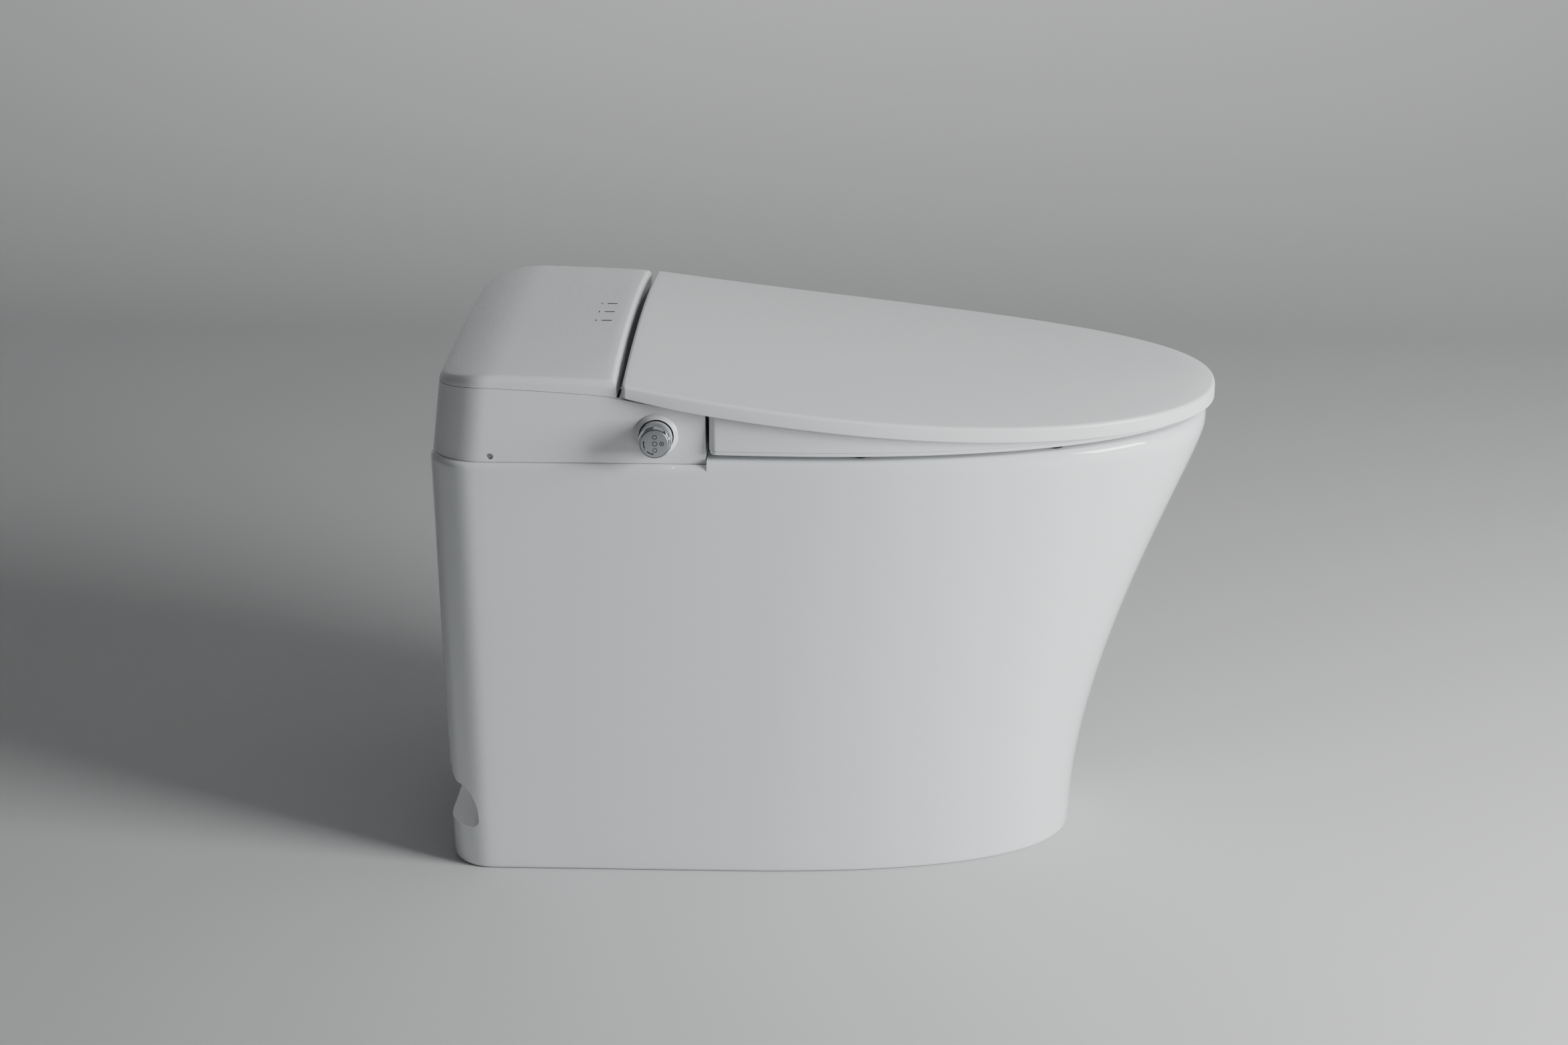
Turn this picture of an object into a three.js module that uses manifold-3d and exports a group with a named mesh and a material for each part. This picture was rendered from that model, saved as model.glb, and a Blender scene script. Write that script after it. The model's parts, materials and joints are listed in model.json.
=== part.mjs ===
// Floor-standing bidet toilet: a ceramic pan with a powered seat unit on its deck.
// Millimetres. +Z up, front towards -Y, the control knob on the -X side.
// Origin on the floor, in the middle of the length and of the width.
import * as THREE from 'three';
import { mergeVertices } from 'three/addons/utils/BufferGeometryUtils.js';
import Module from 'manifold-3d';

const wasm = await Module();
wasm.setup();

// ---------------------------------------------------------------- driving dimensions
const objectLength = 700;
const rearY = objectLength / 2;
const tipY = -objectLength / 2;
const gap = 0.3; // between pieces that touch
const play = 0.4; // round a turning or sliding piece

const lid = {
  width: 393.2, rearInset: 9.1, rearY: rearY - 175.4, widestY: rearY - 332.4, power: 2.15,
  rearRise: 74, slope: 89, sag: 44, crown: 11, band: 13.4, rearBand: 11.2, skin: 2.6, wall: 3,
  linerThickness: 2, linerGap: 0.7,
};
const deckZ = 410; // top of the pan under the seat unit
const rimZ = deckZ + 5.5; // top of the rim in front of the seat unit
const pan = {
  footHalf: 144, footNoseY: tipY + 121, footPower: 2.5, footCorner: 40, topCorner: 45,
  noseInset: 7, sideInset: 12, wall: 13, deckThickness: 38, footEdge: 4, topEdge: 6,
  proud: 2.5, footWidestY: rearY - 244,
};
const bowl = {
  half: 124, rearY: rearY - 250, frontInset: 46, bottomZ: 172, wall: 11, sumpHalf: 38,
  sumpY: rearY - 405, middleY: rearY - 410,
};
const lowRim = { half: 112, frontY: bowl.rearY - 34 };
const trap = { radius: 24, wall: 9, outletY: rearY - 292, weirZ: 228, outletZ: 6 };
const notch = { bottomZ: 42, topZ: 88, depth: 30, wall: 9 };
const serviceOpening = { half: 130, frontY: rearY - 105, rearY: rearY - 30 };

const unit = {
  frontY: rearY - 246.5, coverY: rearY - 170.6, rearInset: 1.2, rearLean: 9.6, wall: 3,
  footHalf: lid.width / 2 - 19.6, topHalf: lid.width / 2 - 13, corner: 48, edge: 6,
  coverRise: 75, coverRear: 6.5, topRise: 85.6, seamFront: 14.5, seamRear: 9.6, seamGap: 0.5,
  shoulderFront: 45.5, shoulderRear: 60.5, dropFrom: 0.6, dropTo: 0.94, drop: 12,
};
const bay = { half: 150, floorFront: 31, floorSlope: 0.235, rearY: unit.coverY + 11 };
const hinge = {
  y: lid.rearY - 10.6, z: deckZ + 71, pinRadius: 2.5, bossRadius: 5.6, damperRadius: 7.2,
  damperX: [20, 60], seatX: [63, 79], lidX: [81, 95], postX: [98, 105], postRadius: 4.2,
};
const seat = {
  inset: 8.6, rearY: unit.frontY - 3, bottomZ: deckZ + 11, seam: 3.8, wall: 3, lidGap: 8,
  holeHalf: 112, holeFront: 185, holeRear: 118, holeY: rearY - 433, holePower: 2.15,
  recessHalf: 106, recessDepth: 46, recessRise: 18,
};
const tray = { thickness: 3, lift: 2.5 };
const deckBolt = { x: 128, y: rearY - 200, radius: 4, headRadius: 8, length: 62, nutRadius: 9 };
const knob = {
  y: rearY - 204.3, z: deckZ + 27.6, collarRadius: 18.8, collarTip: 16, collarProud: 5.5,
  ringRadius: 14.4, faceRadius: 13.4, proud: 26, buttonRadius: 12.2, travel: 2, shaftRadius: 4,
};
const nozzle = {
  x: 0, tipY: unit.frontY + 1, tipZ: deckZ + 16, radius: 8, length: 118, angle: 15, travel: 95,
  pinionRadius: 6, pinionTeeth: 9, toothDepth: 2,
};
const dryer = {
  x: 72, y: rearY - 108, radius: 38, height: 34, fanRadius: 31, portHalf: 24, portHeight: 15,
};
const deodoriser = { x: -74, frontY: unit.frontY + 6, width: 50, depth: 56, height: 21, fanRadius: 17 };
const indicator = { y: rearY - 147.4, pitch: 27.6, length: 9.4, width: 1.6 };
const sideScrew = { y: rearY - 58.3, z: deckZ + 5.6, holeRadius: 2.9, headRadius: 2.4 };

const aroundPoints = 7; // points along each stretch of a plan outline

// ---------------------------------------------------------------- materials
const finish = (color, roughness, metalness = 0) => (
  new THREE.MeshStandardMaterial({ color, roughness, metalness })
);
const glaze = finish(0xdfe2e4, 0.12);
const whitePlastic = finish(0xd9dcde, 0.3);
const seatPlastic = finish(0xdcdedf, 0.35);
const greyPlastic = finish(0x8d9194, 0.5);
const darkPlastic = finish(0x2c2f31, 0.5);
const rubber = finish(0x1d1e20, 0.8);
const chrome = finish(0xc9ccd0, 0.08, 1);
const satinMetal = finish(0xb2b6b9, 0.32, 1);
const steel = finish(0x9b9fa3, 0.35, 1);
const brass = finish(0xb79a5a, 0.35, 1);
const circuitGreen = finish(0x1f5a3c, 0.5);
const carbon = finish(0x18191a, 0.9);

// ---------------------------------------------------------------- geometry helpers
const vec = (x, y, z) => new THREE.Vector3(x, y, z);
const mix = (a, b, t) => a + (b - a) * t;
// The two ends of a stretch on one side of the middle plane, the lower first.
const span = (a, b, side) => [a * side, b * side].sort((low, high) => low - high);

function signedVolume(points, corners) {
  const at = (i) => vec(points[3 * i], points[3 * i + 1], points[3 * i + 2]);
  let sum = 0;
  for (let i = 0; i < corners.length; i += 3) {
    sum += at(corners[i]).dot(at(corners[i + 1]).cross(at(corners[i + 2]))) / 6;
  }
  return sum;
}

function solid(geometry) {
  const bare = geometry.clone();
  bare.deleteAttribute('normal');
  bare.deleteAttribute('uv');
  const merged = mergeVertices(bare, 1e-4);
  const points = merged.attributes.position.array;
  const corners = merged.index.array.slice();
  if (signedVolume(points, corners) < 0) corners.reverse();
  return new wasm.Manifold(new wasm.Mesh({
    numProp: 3,
    vertProperties: new Float32Array(points),
    triVerts: new Uint32Array(corners),
  }));
}

function geometryOf(body) {
  const data = body.getMesh();
  const geometry = new THREE.BufferGeometry();
  geometry.setAttribute('position', new THREE.BufferAttribute(new Float32Array(data.vertProperties), 3));
  geometry.setIndex(new THREE.BufferAttribute(new Uint32Array(data.triVerts), 1));
  geometry.computeVertexNormals();
  return geometry;
}

// A skin through rings of equal point count. Open stacks end in fans; closed stacks join up.
function ringSkin(rings, closed = false) {
  const count = rings[0].length;
  const points = rings.flat();
  const index = [];
  const strips = closed ? rings.length : rings.length - 1;
  for (let r = 0; r < strips; r += 1) {
    const low = r * count;
    const high = ((r + 1) % rings.length) * count;
    for (let i = 0; i < count; i += 1) {
      const j = (i + 1) % count;
      index.push(low + i, low + j, high + j, low + i, high + j, high + i);
    }
  }
  if (!closed) {
    const middle = (ring) => ring.reduce((sum, p) => sum.add(p), vec(0, 0, 0)).divideScalar(count);
    const first = points.push(middle(rings[0])) - 1;
    const last = points.push(middle(rings.at(-1))) - 1;
    const top = (rings.length - 1) * count;
    for (let i = 0; i < count; i += 1) {
      const j = (i + 1) % count;
      index.push(first, j, i, last, top + i, top + j);
    }
  }
  const geometry = new THREE.BufferGeometry();
  geometry.setAttribute('position', new THREE.BufferAttribute(
    new Float32Array(points.flatMap((p) => [p.x, p.y, p.z])), 3));
  geometry.setIndex(index);
  return geometry;
}

function block(x0, x1, y0, y1, z0, z1) {
  const geometry = new THREE.BoxGeometry(x1 - x0, y1 - y0, z1 - z0);
  return solid(geometry.translate((x0 + x1) / 2, (y0 + y1) / 2, (z0 + z1) / 2));
}

// A cylinder or cone along X, Y or Z, from one coordinate to another.
function rod(axis, from, to, at, radius, sides = 24, endRadius = radius) {
  const geometry = new THREE.CylinderGeometry(endRadius, radius, to - from, sides);
  if (axis === 'x') geometry.rotateZ(-Math.PI / 2).translate((from + to) / 2, at[0], at[1]);
  if (axis === 'y') geometry.translate(at[0], (from + to) / 2, at[1]);
  if (axis === 'z') geometry.rotateX(Math.PI / 2).translate(at[0], at[1], (from + to) / 2);
  return solid(geometry);
}

// A turned piece from a profile of [radius, height] points, its height running along the given axis.
function turned(profile, axis, at, sides = 32) {
  const geometry = new THREE.LatheGeometry(profile.map(([r, h]) => new THREE.Vector2(r, h)), sides);
  if (axis === '-x') geometry.rotateZ(Math.PI / 2);
  if (axis === 'x') geometry.rotateZ(-Math.PI / 2);
  if (axis === 'z') geometry.rotateX(Math.PI / 2);
  return solid(geometry.translate(...at));
}

// A round tube or bar along a smooth curve through the given points.
function bentBar(points, radius, steps, sides = 12) {
  const shape = new THREE.Shape();
  shape.absarc(0, 0, radius, 0, 2 * Math.PI);
  const path = new THREE.CatmullRomCurve3(points.map((p) => vec(...p)), false, 'centripetal');
  const section = new THREE.Shape(shape.getSpacedPoints(sides).slice(0, sides));
  return solid(new THREE.ExtrudeGeometry(section, { steps, extrudePath: path, bevelEnabled: false }));
}

// A side profile of [y, z] points, swept across from x0 to x1.
function sideSweep(profile, x0, x1) {
  const shape = new THREE.Shape(profile.map(([y, z]) => new THREE.Vector2(y, z)));
  const geometry = new THREE.ExtrudeGeometry(shape, { depth: x1 - x0, bevelEnabled: false });
  const turn = new THREE.Matrix4().makeBasis(vec(0, 1, 0), vec(0, 0, 1), vec(1, 0, 0));
  return solid(geometry.applyMatrix4(turn).translate(x0, 0, 0));
}

// A plan outline, mirror-symmetric about X = 0, anticlockwise from the middle of the rear edge.
function planOutline({ rear, rearHalf, half, widest, nose, power, corner }, inset = 0) {
  const side = [];
  const n = aroundPoints;
  const back = rear - inset;
  const backHalf = rearHalf - inset;
  const full = half - inset;
  const reach = widest - (nose + inset);
  const bend = Math.max(corner - inset, 0.5);
  for (let i = 0; i < 3; i += 1) side.push([-(backHalf - bend) * (i / 3), back]);
  const flank = (y) => full - (full - backHalf) * ((y - widest) / (back - widest)) ** 2;
  const start = flank(back - bend);
  for (let i = 0; i <= 3; i += 1) {
    const a = (i / 3) * (Math.PI / 2);
    const out = backHalf - bend + (start - backHalf + bend) * Math.sin(a);
    side.push([-out, back - bend + bend * Math.cos(a)]);
  }
  for (let i = 1; i < n; i += 1) {
    const y = mix(back - bend, widest, i / n);
    side.push([-flank(y), y]);
  }
  for (let i = 0; i <= n + 2; i += 1) {
    const a = (i / (n + 2)) * (Math.PI / 2);
    side.push([-full * Math.cos(a) ** (2 / power), widest - reach * Math.sin(a) ** (2 / power)]);
  }
  const mirror = side.slice(1, -1).reverse().map(([x, y]) => [-x, y]);
  return [...side, ...mirror];
}

const level = (outline, z) => outline.map(([x, y]) => vec(x, y, typeof z === 'function' ? z(x, y) : z));
const shrink = (outline, share, y0) => outline.map(([x, y]) => [x * share, y0 + (y - y0) * share]);

const add = (parent, name, body, material, place = [0, 0, 0], turn = [0, 0, 0]) => {
  const geometry = body.isBufferGeometry ? body : geometryOf(body);
  const mesh = new THREE.Mesh(geometry, material);
  mesh.name = name;
  mesh.position.set(...place);
  mesh.rotation.set(...turn);
  parent.add(mesh);
  return mesh;
};

// ---------------------------------------------------------------- ceramic pan
const toilet = new THREE.Group();

// The skirt flares from the foot to the rim along a cubic curve. share runs from 0 to 1 up the curve.
const cubic = (share, first, second) => (
  3 * (1 - share) ** 2 * share * first + 3 * (1 - share) * share ** 2 * second + share ** 3
);
const flareRise = (share) => cubic(share, 0.443, 0.93);
const flareReach = (share) => cubic(share, 0, 1);

function panOutline(share, inset = 0) {
  const reach = flareReach(share);
  const rise = flareRise(share);
  return planOutline({
    rear: rearY,
    rearHalf: mix(pan.footHalf, unit.footHalf + pan.proud, rise),
    half: mix(pan.footHalf, lid.width / 2 - pan.sideInset, rise),
    widest: mix(pan.footWidestY, lid.widestY, rise),
    nose: mix(pan.footNoseY, tipY + pan.noseInset, reach),
    power: mix(pan.footPower, lid.power, rise),
    corner: mix(pan.footCorner, pan.topCorner, rise),
  }, inset);
}

function panSkinTo(top) {
  const rings = [level(panOutline(0, pan.footEdge), 0), level(panOutline(0), pan.footEdge)];
  for (const share of [0.25, 0.45, 0.6, 0.8, 1]) {
    rings.push(level(panOutline(share), flareRise(share) * (deckZ - pan.topEdge)));
  }
  if (top > deckZ) rings.push(level(panOutline(1), top - pan.topEdge));
  rings.push(level(panOutline(1, pan.topEdge * 0.3), top - pan.topEdge * 0.3));
  rings.push(level(panOutline(1, pan.topEdge), top));
  return solid(ringSkin(rings));
}

// The rim stands up round the bowl, with a low stretch at its rear for the seat unit's outlets.
function panSkin() {
  const rimRear = unit.frontY - 0.8;
  const rim = panSkinTo(rimZ)
    .intersect(block(-lid.width, lid.width, tipY, rimRear, deckZ - 2 * pan.topEdge, rimZ + 1))
    .subtract(block(-lowRim.half, lowRim.half, lowRim.frontY, rimRear + 1, deckZ, rimZ + 1));
  return panSkinTo(deckZ).add(rim);
}

function panHollow() {
  const top = deckZ - pan.deckThickness;
  const rings = [level(panOutline(0, pan.wall), -1)];
  for (const share of [0.45, 0.7, 0.9]) {
    rings.push(level(panOutline(share, pan.wall), Math.min(flareRise(share) * deckZ, top)));
  }
  return solid(ringSkin(rings));
}

// The pipe channel across the rear of the foot: flat ledge, round heel and a sloping roof.
function notchSweep(grow) {
  const heel = rearY - notch.depth - grow;
  const ledge = notch.bottomZ - grow;
  const roof = notch.topZ + grow;
  return sideSweep([
    [rearY + 5, ledge], [heel + 8, ledge], [heel + 2, ledge + 3], [heel, ledge + 9],
    [heel + 1, roof - 26], [heel + 6, roof - 16], [heel + 20, roof - 3], [rearY - 3, roof + 8],
    [rearY, roof + 20], [rearY + 5, roof + 20],
  ], -lid.width / 2, lid.width / 2);
}

function bowlRing(depth, grow) {
  const share = 1 - depth ** 1.7;
  const half = mix(bowl.sumpHalf, bowl.half, share) + grow;
  const middle = mix(bowl.sumpY, bowl.middleY, share);
  const rear = mix(bowl.sumpY + bowl.sumpHalf, bowl.rearY, share) + grow - middle;
  const noseY = tipY + pan.noseInset + bowl.frontInset;
  const front = middle - mix(bowl.sumpY - bowl.sumpHalf, noseY, share) + grow;
  const points = [];
  for (let i = 0; i < 28; i += 1) {
    const a = (i / 28) * 2 * Math.PI;
    const y = Math.sin(a);
    const x = Math.cos(a);
    const bulge = 2 / 2.2;
    points.push([
      half * Math.sign(x) * Math.abs(x) ** bulge,
      middle + (y > 0 ? rear : front) * Math.sign(y) * Math.abs(y) ** bulge,
    ]);
  }
  return points;
}

function bowlSkin(grow, topZ) {
  const rings = [];
  for (const depth of [1, 0.92, 0.7, 0.4, 0.12, 0]) {
    rings.push(level(bowlRing(depth, grow), mix(deckZ - 2, bowl.bottomZ - grow, depth)));
  }
  rings.push(level(bowlRing(0, grow), topZ));
  return solid(ringSkin(rings));
}

const trapRoute = [
  [0, bowl.sumpY, bowl.bottomZ + 26], [0, bowl.sumpY + 45, bowl.bottomZ + 20],
  [0, trap.outletY - 5, trap.weirZ - 8], [0, trap.outletY + 34, trap.weirZ],
  [0, trap.outletY + 62, trap.weirZ - 34], [0, trap.outletY + 52, trap.weirZ - 90],
  [0, trap.outletY + 12, trap.weirZ - 150], [0, trap.outletY, trap.outletZ + 30],
  [0, trap.outletY, trap.outletZ],
];

function ceramicPan() {
  const skin = panSkin().subtract(notchSweep(0));
  const hollow = panHollow().subtract(notchSweep(notch.wall));
  const pipe = bentBar(trapRoute, trap.radius + trap.wall, 20);
  const cores = bowlSkin(bowl.wall, deckZ - pan.topEdge).add(pipe).intersect(skin);
  let body = skin.subtract(hollow).add(cores);
  body = body.subtract(bowlSkin(0, rimZ + 5));
  const outletRun = [...trapRoute.slice(0, -1), [0, trap.outletY, trap.outletZ - 10]];
  body = body.subtract(bentBar(outletRun, trap.radius, 20));
  const { half, frontY, rearY: backY } = serviceOpening;
  body = body.subtract(block(-half, half, frontY, backY, deckZ - pan.deckThickness - 5, deckZ + 5));
  for (const side of [-1, 1]) {
    const at = [side * deckBolt.x, deckBolt.y];
    body = body.subtract(rod('z', deckZ - pan.deckThickness - 5, deckZ + 5, at, deckBolt.radius + 1, 16));
  }
  return body;
}
add(toilet, 'ceramic_pan', ceramicPan(), glaze);

const sealTop = trap.outletZ - gap;
add(toilet, 'outlet_seal', turned([
  [trap.radius + 1, 0], [trap.radius + trap.wall + 6, 0], [trap.radius + trap.wall + 6, sealTop],
  [trap.radius + 1, sealTop], [trap.radius + 1, 0],
], 'z', [0, trap.outletY, 0]), rubber);

// ---------------------------------------------------------------- shared surfaces
const lidRearHalf = lid.width / 2 - lid.rearInset;
const lidShare = (y) => (lid.rearY - y) / (lid.rearY - tipY);
const lidEdgeZ = (y) => deckZ + lid.rearRise - lid.slope * lidShare(y) + lid.sag * lidShare(y) ** 2;

function lidHalf(y) {
  const full = lid.width / 2;
  if (y > lid.widestY) return full - lid.rearInset * ((y - lid.widestY) / (lid.rearY - lid.widestY)) ** 2;
  const u = Math.min(1, (lid.widestY - y) / (lid.widestY - tipY));
  return full * (1 - u ** lid.power) ** (1 / lid.power);
}

function lidTopZ(x, y) {
  const half = Math.max(lidHalf(y), 1);
  const share = half / (lid.width / 2);
  return lidEdgeZ(y) + lid.crown * share * (1 - Math.min(1, (x / half) ** 2));
}

// ---------------------------------------------------------------- seat unit casing
const seatUnit = new THREE.Group();
toilet.add(seatUnit);

const unitHalf = (z) => mix(unit.footHalf, unit.topHalf, (z - deckZ) / unit.coverRise);
const unitRear = (z) => rearY - unit.rearInset - unit.rearLean * ((z - deckZ) / unit.coverRise);
const alongCover = (y) => Math.max(0, (y - unit.coverY) / (rearY - unit.coverY));
const droop = (share) => Math.max(0, (share - unit.dropFrom) / (unit.dropTo - unit.dropFrom)) ** 2;
const coverDrop = (y) => unit.drop * droop(alongCover(y));
const coverEdgeZ = (y) => deckZ + unit.coverRise + unit.coverRear * Math.sqrt(alongCover(y)) - coverDrop(y);
const bandHeight = (y) => mix(unit.seamFront, unit.seamRear, alongCover(y)) - 0.45 * coverDrop(y);
const seamZ = (y) => coverEdgeZ(y) - bandHeight(y);
const coverTopZ = (x, y) => (
  mix(deckZ + unit.topRise - coverDrop(y), coverEdgeZ(y), Math.min(1, (x / unit.topHalf) ** 2))
);
const alongShoulder = (y) => (y - unit.frontY) / (unit.coverY - unit.frontY);
const shoulderZ = (y) => deckZ + mix(unit.shoulderFront, unit.shoulderRear, alongShoulder(y));
const bayFloorZ = (y) => deckZ + bay.floorFront + bay.floorSlope * (y - unit.frontY);

// Straight front and sides, large rear corners. Anticlockwise from the middle of the rear edge.
function unitOutline(z, front, inset) {
  const half = unitHalf(z) - inset;
  const rear = unitRear(z) - inset;
  const bend = unit.corner - inset;
  const nose = front + inset;
  const side = [];
  for (let i = 0; i < 4; i += 1) side.push([-(half - bend) * (i / 4), rear]);
  for (let i = 0; i <= 6; i += 1) {
    const a = (i / 6) * (Math.PI / 2);
    side.push([-(half - bend) - bend * Math.sin(a), rear - bend + bend * Math.cos(a)]);
  }
  for (let i = 1; i <= 4; i += 1) side.push([-half, mix(rear - bend, nose, i / 4)]);
  for (let i = 1; i <= 4; i += 1) side.push([-half * (1 - i / 4), nose]);
  return [...side, ...side.slice(1, -1).reverse().map(([x, y]) => [-x, y])];
}

function unitForm(front, inset, drop) {
  const top = deckZ + unit.coverRise;
  const rings = [level(unitOutline(deckZ, front, inset), deckZ - 5)];
  rings.push(level(unitOutline(top, front, inset), (x, y) => coverEdgeZ(y) - unit.edge - drop));
  const bevel = unit.edge * 0.3;
  rings.push(level(unitOutline(top, front, inset + bevel), (x, y) => coverTopZ(x, y) - bevel - drop));
  const rim = unitOutline(top, front, inset + unit.edge);
  const middle = (front + rearY) / 2;
  for (const share of [1, 0.8, 0.5]) {
    rings.push(level(shrink(rim, share, middle), (x, y) => coverTopZ(x, y) - drop));
  }
  return solid(ringSkin(rings));
}

const seamSteps = [0, 0.1, 0.25, 0.5, 0.65, 0.8, 0.92, 1.05].map((t) => mix(unit.coverY, rearY, t));
const seamLine = (lift) => seamSteps.map((y) => [y, seamZ(y) + lift]);
const hingeAt = [hinge.y, hinge.z];

// The space that the rear edge of the lid sweeps, a spindle round the hinge axis.
function lidSweep(clearance) {
  const profile = [[0, -lid.width / 2]];
  for (let i = -4; i <= 4; i += 1) {
    const x = (i / 4) * (lidRearHalf - lid.wall);
    profile.push([Math.hypot(lid.rearY - hinge.y, lidTopZ(x, lid.rearY) - hinge.z) + clearance, x]);
  }
  profile.push([0, lid.width / 2]);
  return turned(profile, 'x', [0, ...hingeAt], 28);
}

function bayBlock(grow) {
  const rear = bay.rearY + grow;
  const front = unit.frontY - 5;
  return sideSweep([
    [front, bayFloorZ(front) - grow], [rear, bayFloorZ(rear) - grow],
    [rear, deckZ + 150], [front, deckZ + 150],
  ], -bay.half - grow, bay.half + grow);
}

function housingShell() {
  const w = unit.wall;
  const front = unit.frontY;
  const low = deckZ + unit.seamGap;
  const outer = unitForm(front, 0, 0).intersect(sideSweep([
    [front - 1, low], [front - 1, shoulderZ(front - 1)], [unit.coverY, shoulderZ(unit.coverY)],
    ...seamLine(0).slice(1), [rearY + 10, low],
  ], -lid.width, lid.width));
  const space = unitForm(front, w, -20).intersect(sideSweep([
    [front + w, deckZ - 2], [front + w, shoulderZ(front) - w], [unit.coverY - 2, shoulderZ(unit.coverY) - w],
    [unit.coverY, deckZ + 120], [rearY + 10, deckZ + 120], [rearY + 10, deckZ - 2],
  ], -lid.width, lid.width));
  let body = outer.subtract(space.subtract(bayBlock(w))).subtract(bayBlock(0));
  for (const side of [-1, 1]) {
    const [near, far] = span(...hinge.postX, side);
    const post = block(near, far, hinge.y - 7, hinge.y + 1, bayFloorZ(hinge.y - 7) - w / 2, hinge.z)
      .add(rod('x', near, far, hingeAt, hinge.postRadius, 16));
    body = body.add(post).subtract(rod('x', near - 1, far + 1, hingeAt, hinge.pinRadius + gap, 16));
    const screwAt = [sideScrew.y, sideScrew.z];
    const wallAt = side * unit.footHalf;
    body = body.subtract(rod('x', wallAt - 8, wallAt + 8, screwAt, sideScrew.holeRadius, 16));
  }
  const knobHole = knob.collarRadius - 1.5;
  body = body.subtract(rod('x', -unit.topHalf - 5, -unit.footHalf + 12, [knob.y, knob.z], knobHole, 32));
  const port = dryer.portHalf + 1;
  const portTop = deckZ + 8 + dryer.portHeight;
  body = body.subtract(block(dryer.x - port, dryer.x + port, front - 1, front + w + 1, deckZ + 7, portTop));
  const intake = deodoriser.width / 2 - 3;
  for (let i = 0; i < 3; i += 1) {
    const z = deckZ + 10 + i * 5;
    const [from, to] = [deodoriser.x - intake, deodoriser.x + intake];
    body = body.subtract(block(from, to, front - 1, front + w + 1, z, z + 2.5));
  }
  const nozzleHole = nozzle.radius + 2.5;
  body = body.subtract(rod('y', front - 1, front + w + 1, [nozzle.x, nozzle.tipZ + 0.5], nozzleHole, 24));
  const rackReach = nozzle.x + nozzle.radius + nozzle.toothDepth + 3;
  const rackZ = [nozzle.tipZ - 4, nozzle.tipZ + 5];
  body = body.subtract(block(nozzle.x, rackReach, front - 1, front + w + 1, ...rackZ));
  return body;
}

function topCover() {
  const above = sideSweep([
    ...seamLine(unit.seamGap), [rearY + 20, deckZ + 120], [unit.coverY, deckZ + 120],
  ], -lid.width, lid.width);
  const outer = unitForm(unit.coverY, 0, 0).intersect(above);
  const inner = unitForm(unit.coverY, unit.wall, unit.wall - 0.4).subtract(lidSweep(2.6));
  let body = outer.subtract(inner).subtract(lidSweep(0.7));
  for (let i = -1; i <= 1; i += 1) {
    const x = i * indicator.pitch;
    body = body.subtract(block(x - indicator.width / 2, x + indicator.width / 2,
      indicator.y - indicator.length / 2, indicator.y + indicator.length / 2, deckZ + 70, deckZ + 100));
  }
  return body;
}

add(seatUnit, 'housing_shell', housingShell(), whitePlastic);
add(seatUnit, 'top_cover', topCover(), whitePlastic);

// ---------------------------------------------------------------- lid
const lidPlan = {
  rear: lid.rearY, rearHalf: lidRearHalf, half: lid.width / 2, widest: lid.widestY, nose: tipY,
  power: lid.power, corner: 4,
};
const bandAt = (y) => {
  const back = Math.max(0, (y - unit.frontY) / (lid.rearY - unit.frontY));
  return mix(lid.band, lid.rearBand, back ** 2);
};
const lidGroup = new THREE.Group();
seatUnit.add(lidGroup);

function lidOuter() {
  const plan = (inset) => planOutline(lidPlan, inset);
  const below = (depth) => (x, y) => lidTopZ(x, y) - depth;
  const inside = plan(lid.wall);
  const rings = [
    level(shrink(inside, 0.5, lid.widestY), below(lid.skin)),
    level(shrink(inside, 0.85, lid.widestY), below(lid.skin)),
    level(inside, below(lid.skin)),
    level(inside, (x, y) => lidEdgeZ(y) - bandAt(y)),
    level(plan(0.8), (x, y) => lidEdgeZ(y) - bandAt(y)),
    level(plan(0), (x, y) => lidEdgeZ(y) - bandAt(y) + 1),
    level(plan(0), (x, y) => lidTopZ(x, y) - 3),
    level(plan(0.9), (x, y) => lidTopZ(x, y) - 0.9),
    level(plan(3), below(0)),
    level(shrink(plan(3), 0.85, lid.widestY), below(0)),
    level(shrink(plan(3), 0.5, lid.widestY), below(0)),
  ];
  let body = solid(ringSkin(rings));
  const inner = lidRearHalf - lid.wall - gap;
  body = body.subtract(block(-inner, inner, hinge.y - 3, lid.rearY + 5, deckZ + 40, hinge.z - 3));
  const reach = hinge.postX[1] + 2;
  body = body.subtract(rod('x', -reach, reach, hingeAt, hinge.bossRadius + 0.4, 20));
  body = body.subtract(block(-reach, reach, hinge.y, lid.rearY + 5, deckZ + 40, hinge.z + 2));
  for (const side of [-1, 1]) {
    const [near, far] = span(hinge.damperX[0] - 2, hinge.damperX[1] + 2, side);
    body = body.subtract(rod('x', near, far, hingeAt, hinge.damperRadius + 0.5, 24));
  }
  return body;
}

const linerDrop = lid.skin + lid.linerGap;
function lidInner() {
  const inset = lid.wall + gap;
  const plan = planOutline({ ...lidPlan, rear: hinge.y - 6 + inset }, inset);
  const under = (x, y) => lidTopZ(x, y) - linerDrop - lid.linerThickness;
  const over = (x, y) => lidTopZ(x, y) - linerDrop;
  const inner = [0.5, 0.85].map((share) => shrink(plan, share, lid.widestY));
  let body = solid(ringSkin([
    level(inner[0], under), level(inner[1], under), level(plan, under),
    level(plan, over), level(inner[1], over), level(inner[0], over),
  ]));
  for (const side of [-1, 1]) {
    const [near, far] = span(...hinge.lidX, side);
    const roof = lidTopZ(hinge.lidX[1], hinge.y - 9) - linerDrop - gap;
    body = body.add(rod('x', near, far, hingeAt, hinge.bossRadius, 20))
      .add(block(near, far, hinge.y - 9, hinge.y + 1, hinge.z - 3, roof))
      .subtract(rod('x', near - 1, far + 1, hingeAt, hinge.pinRadius + gap, 16));
  }
  return body;
}
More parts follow.
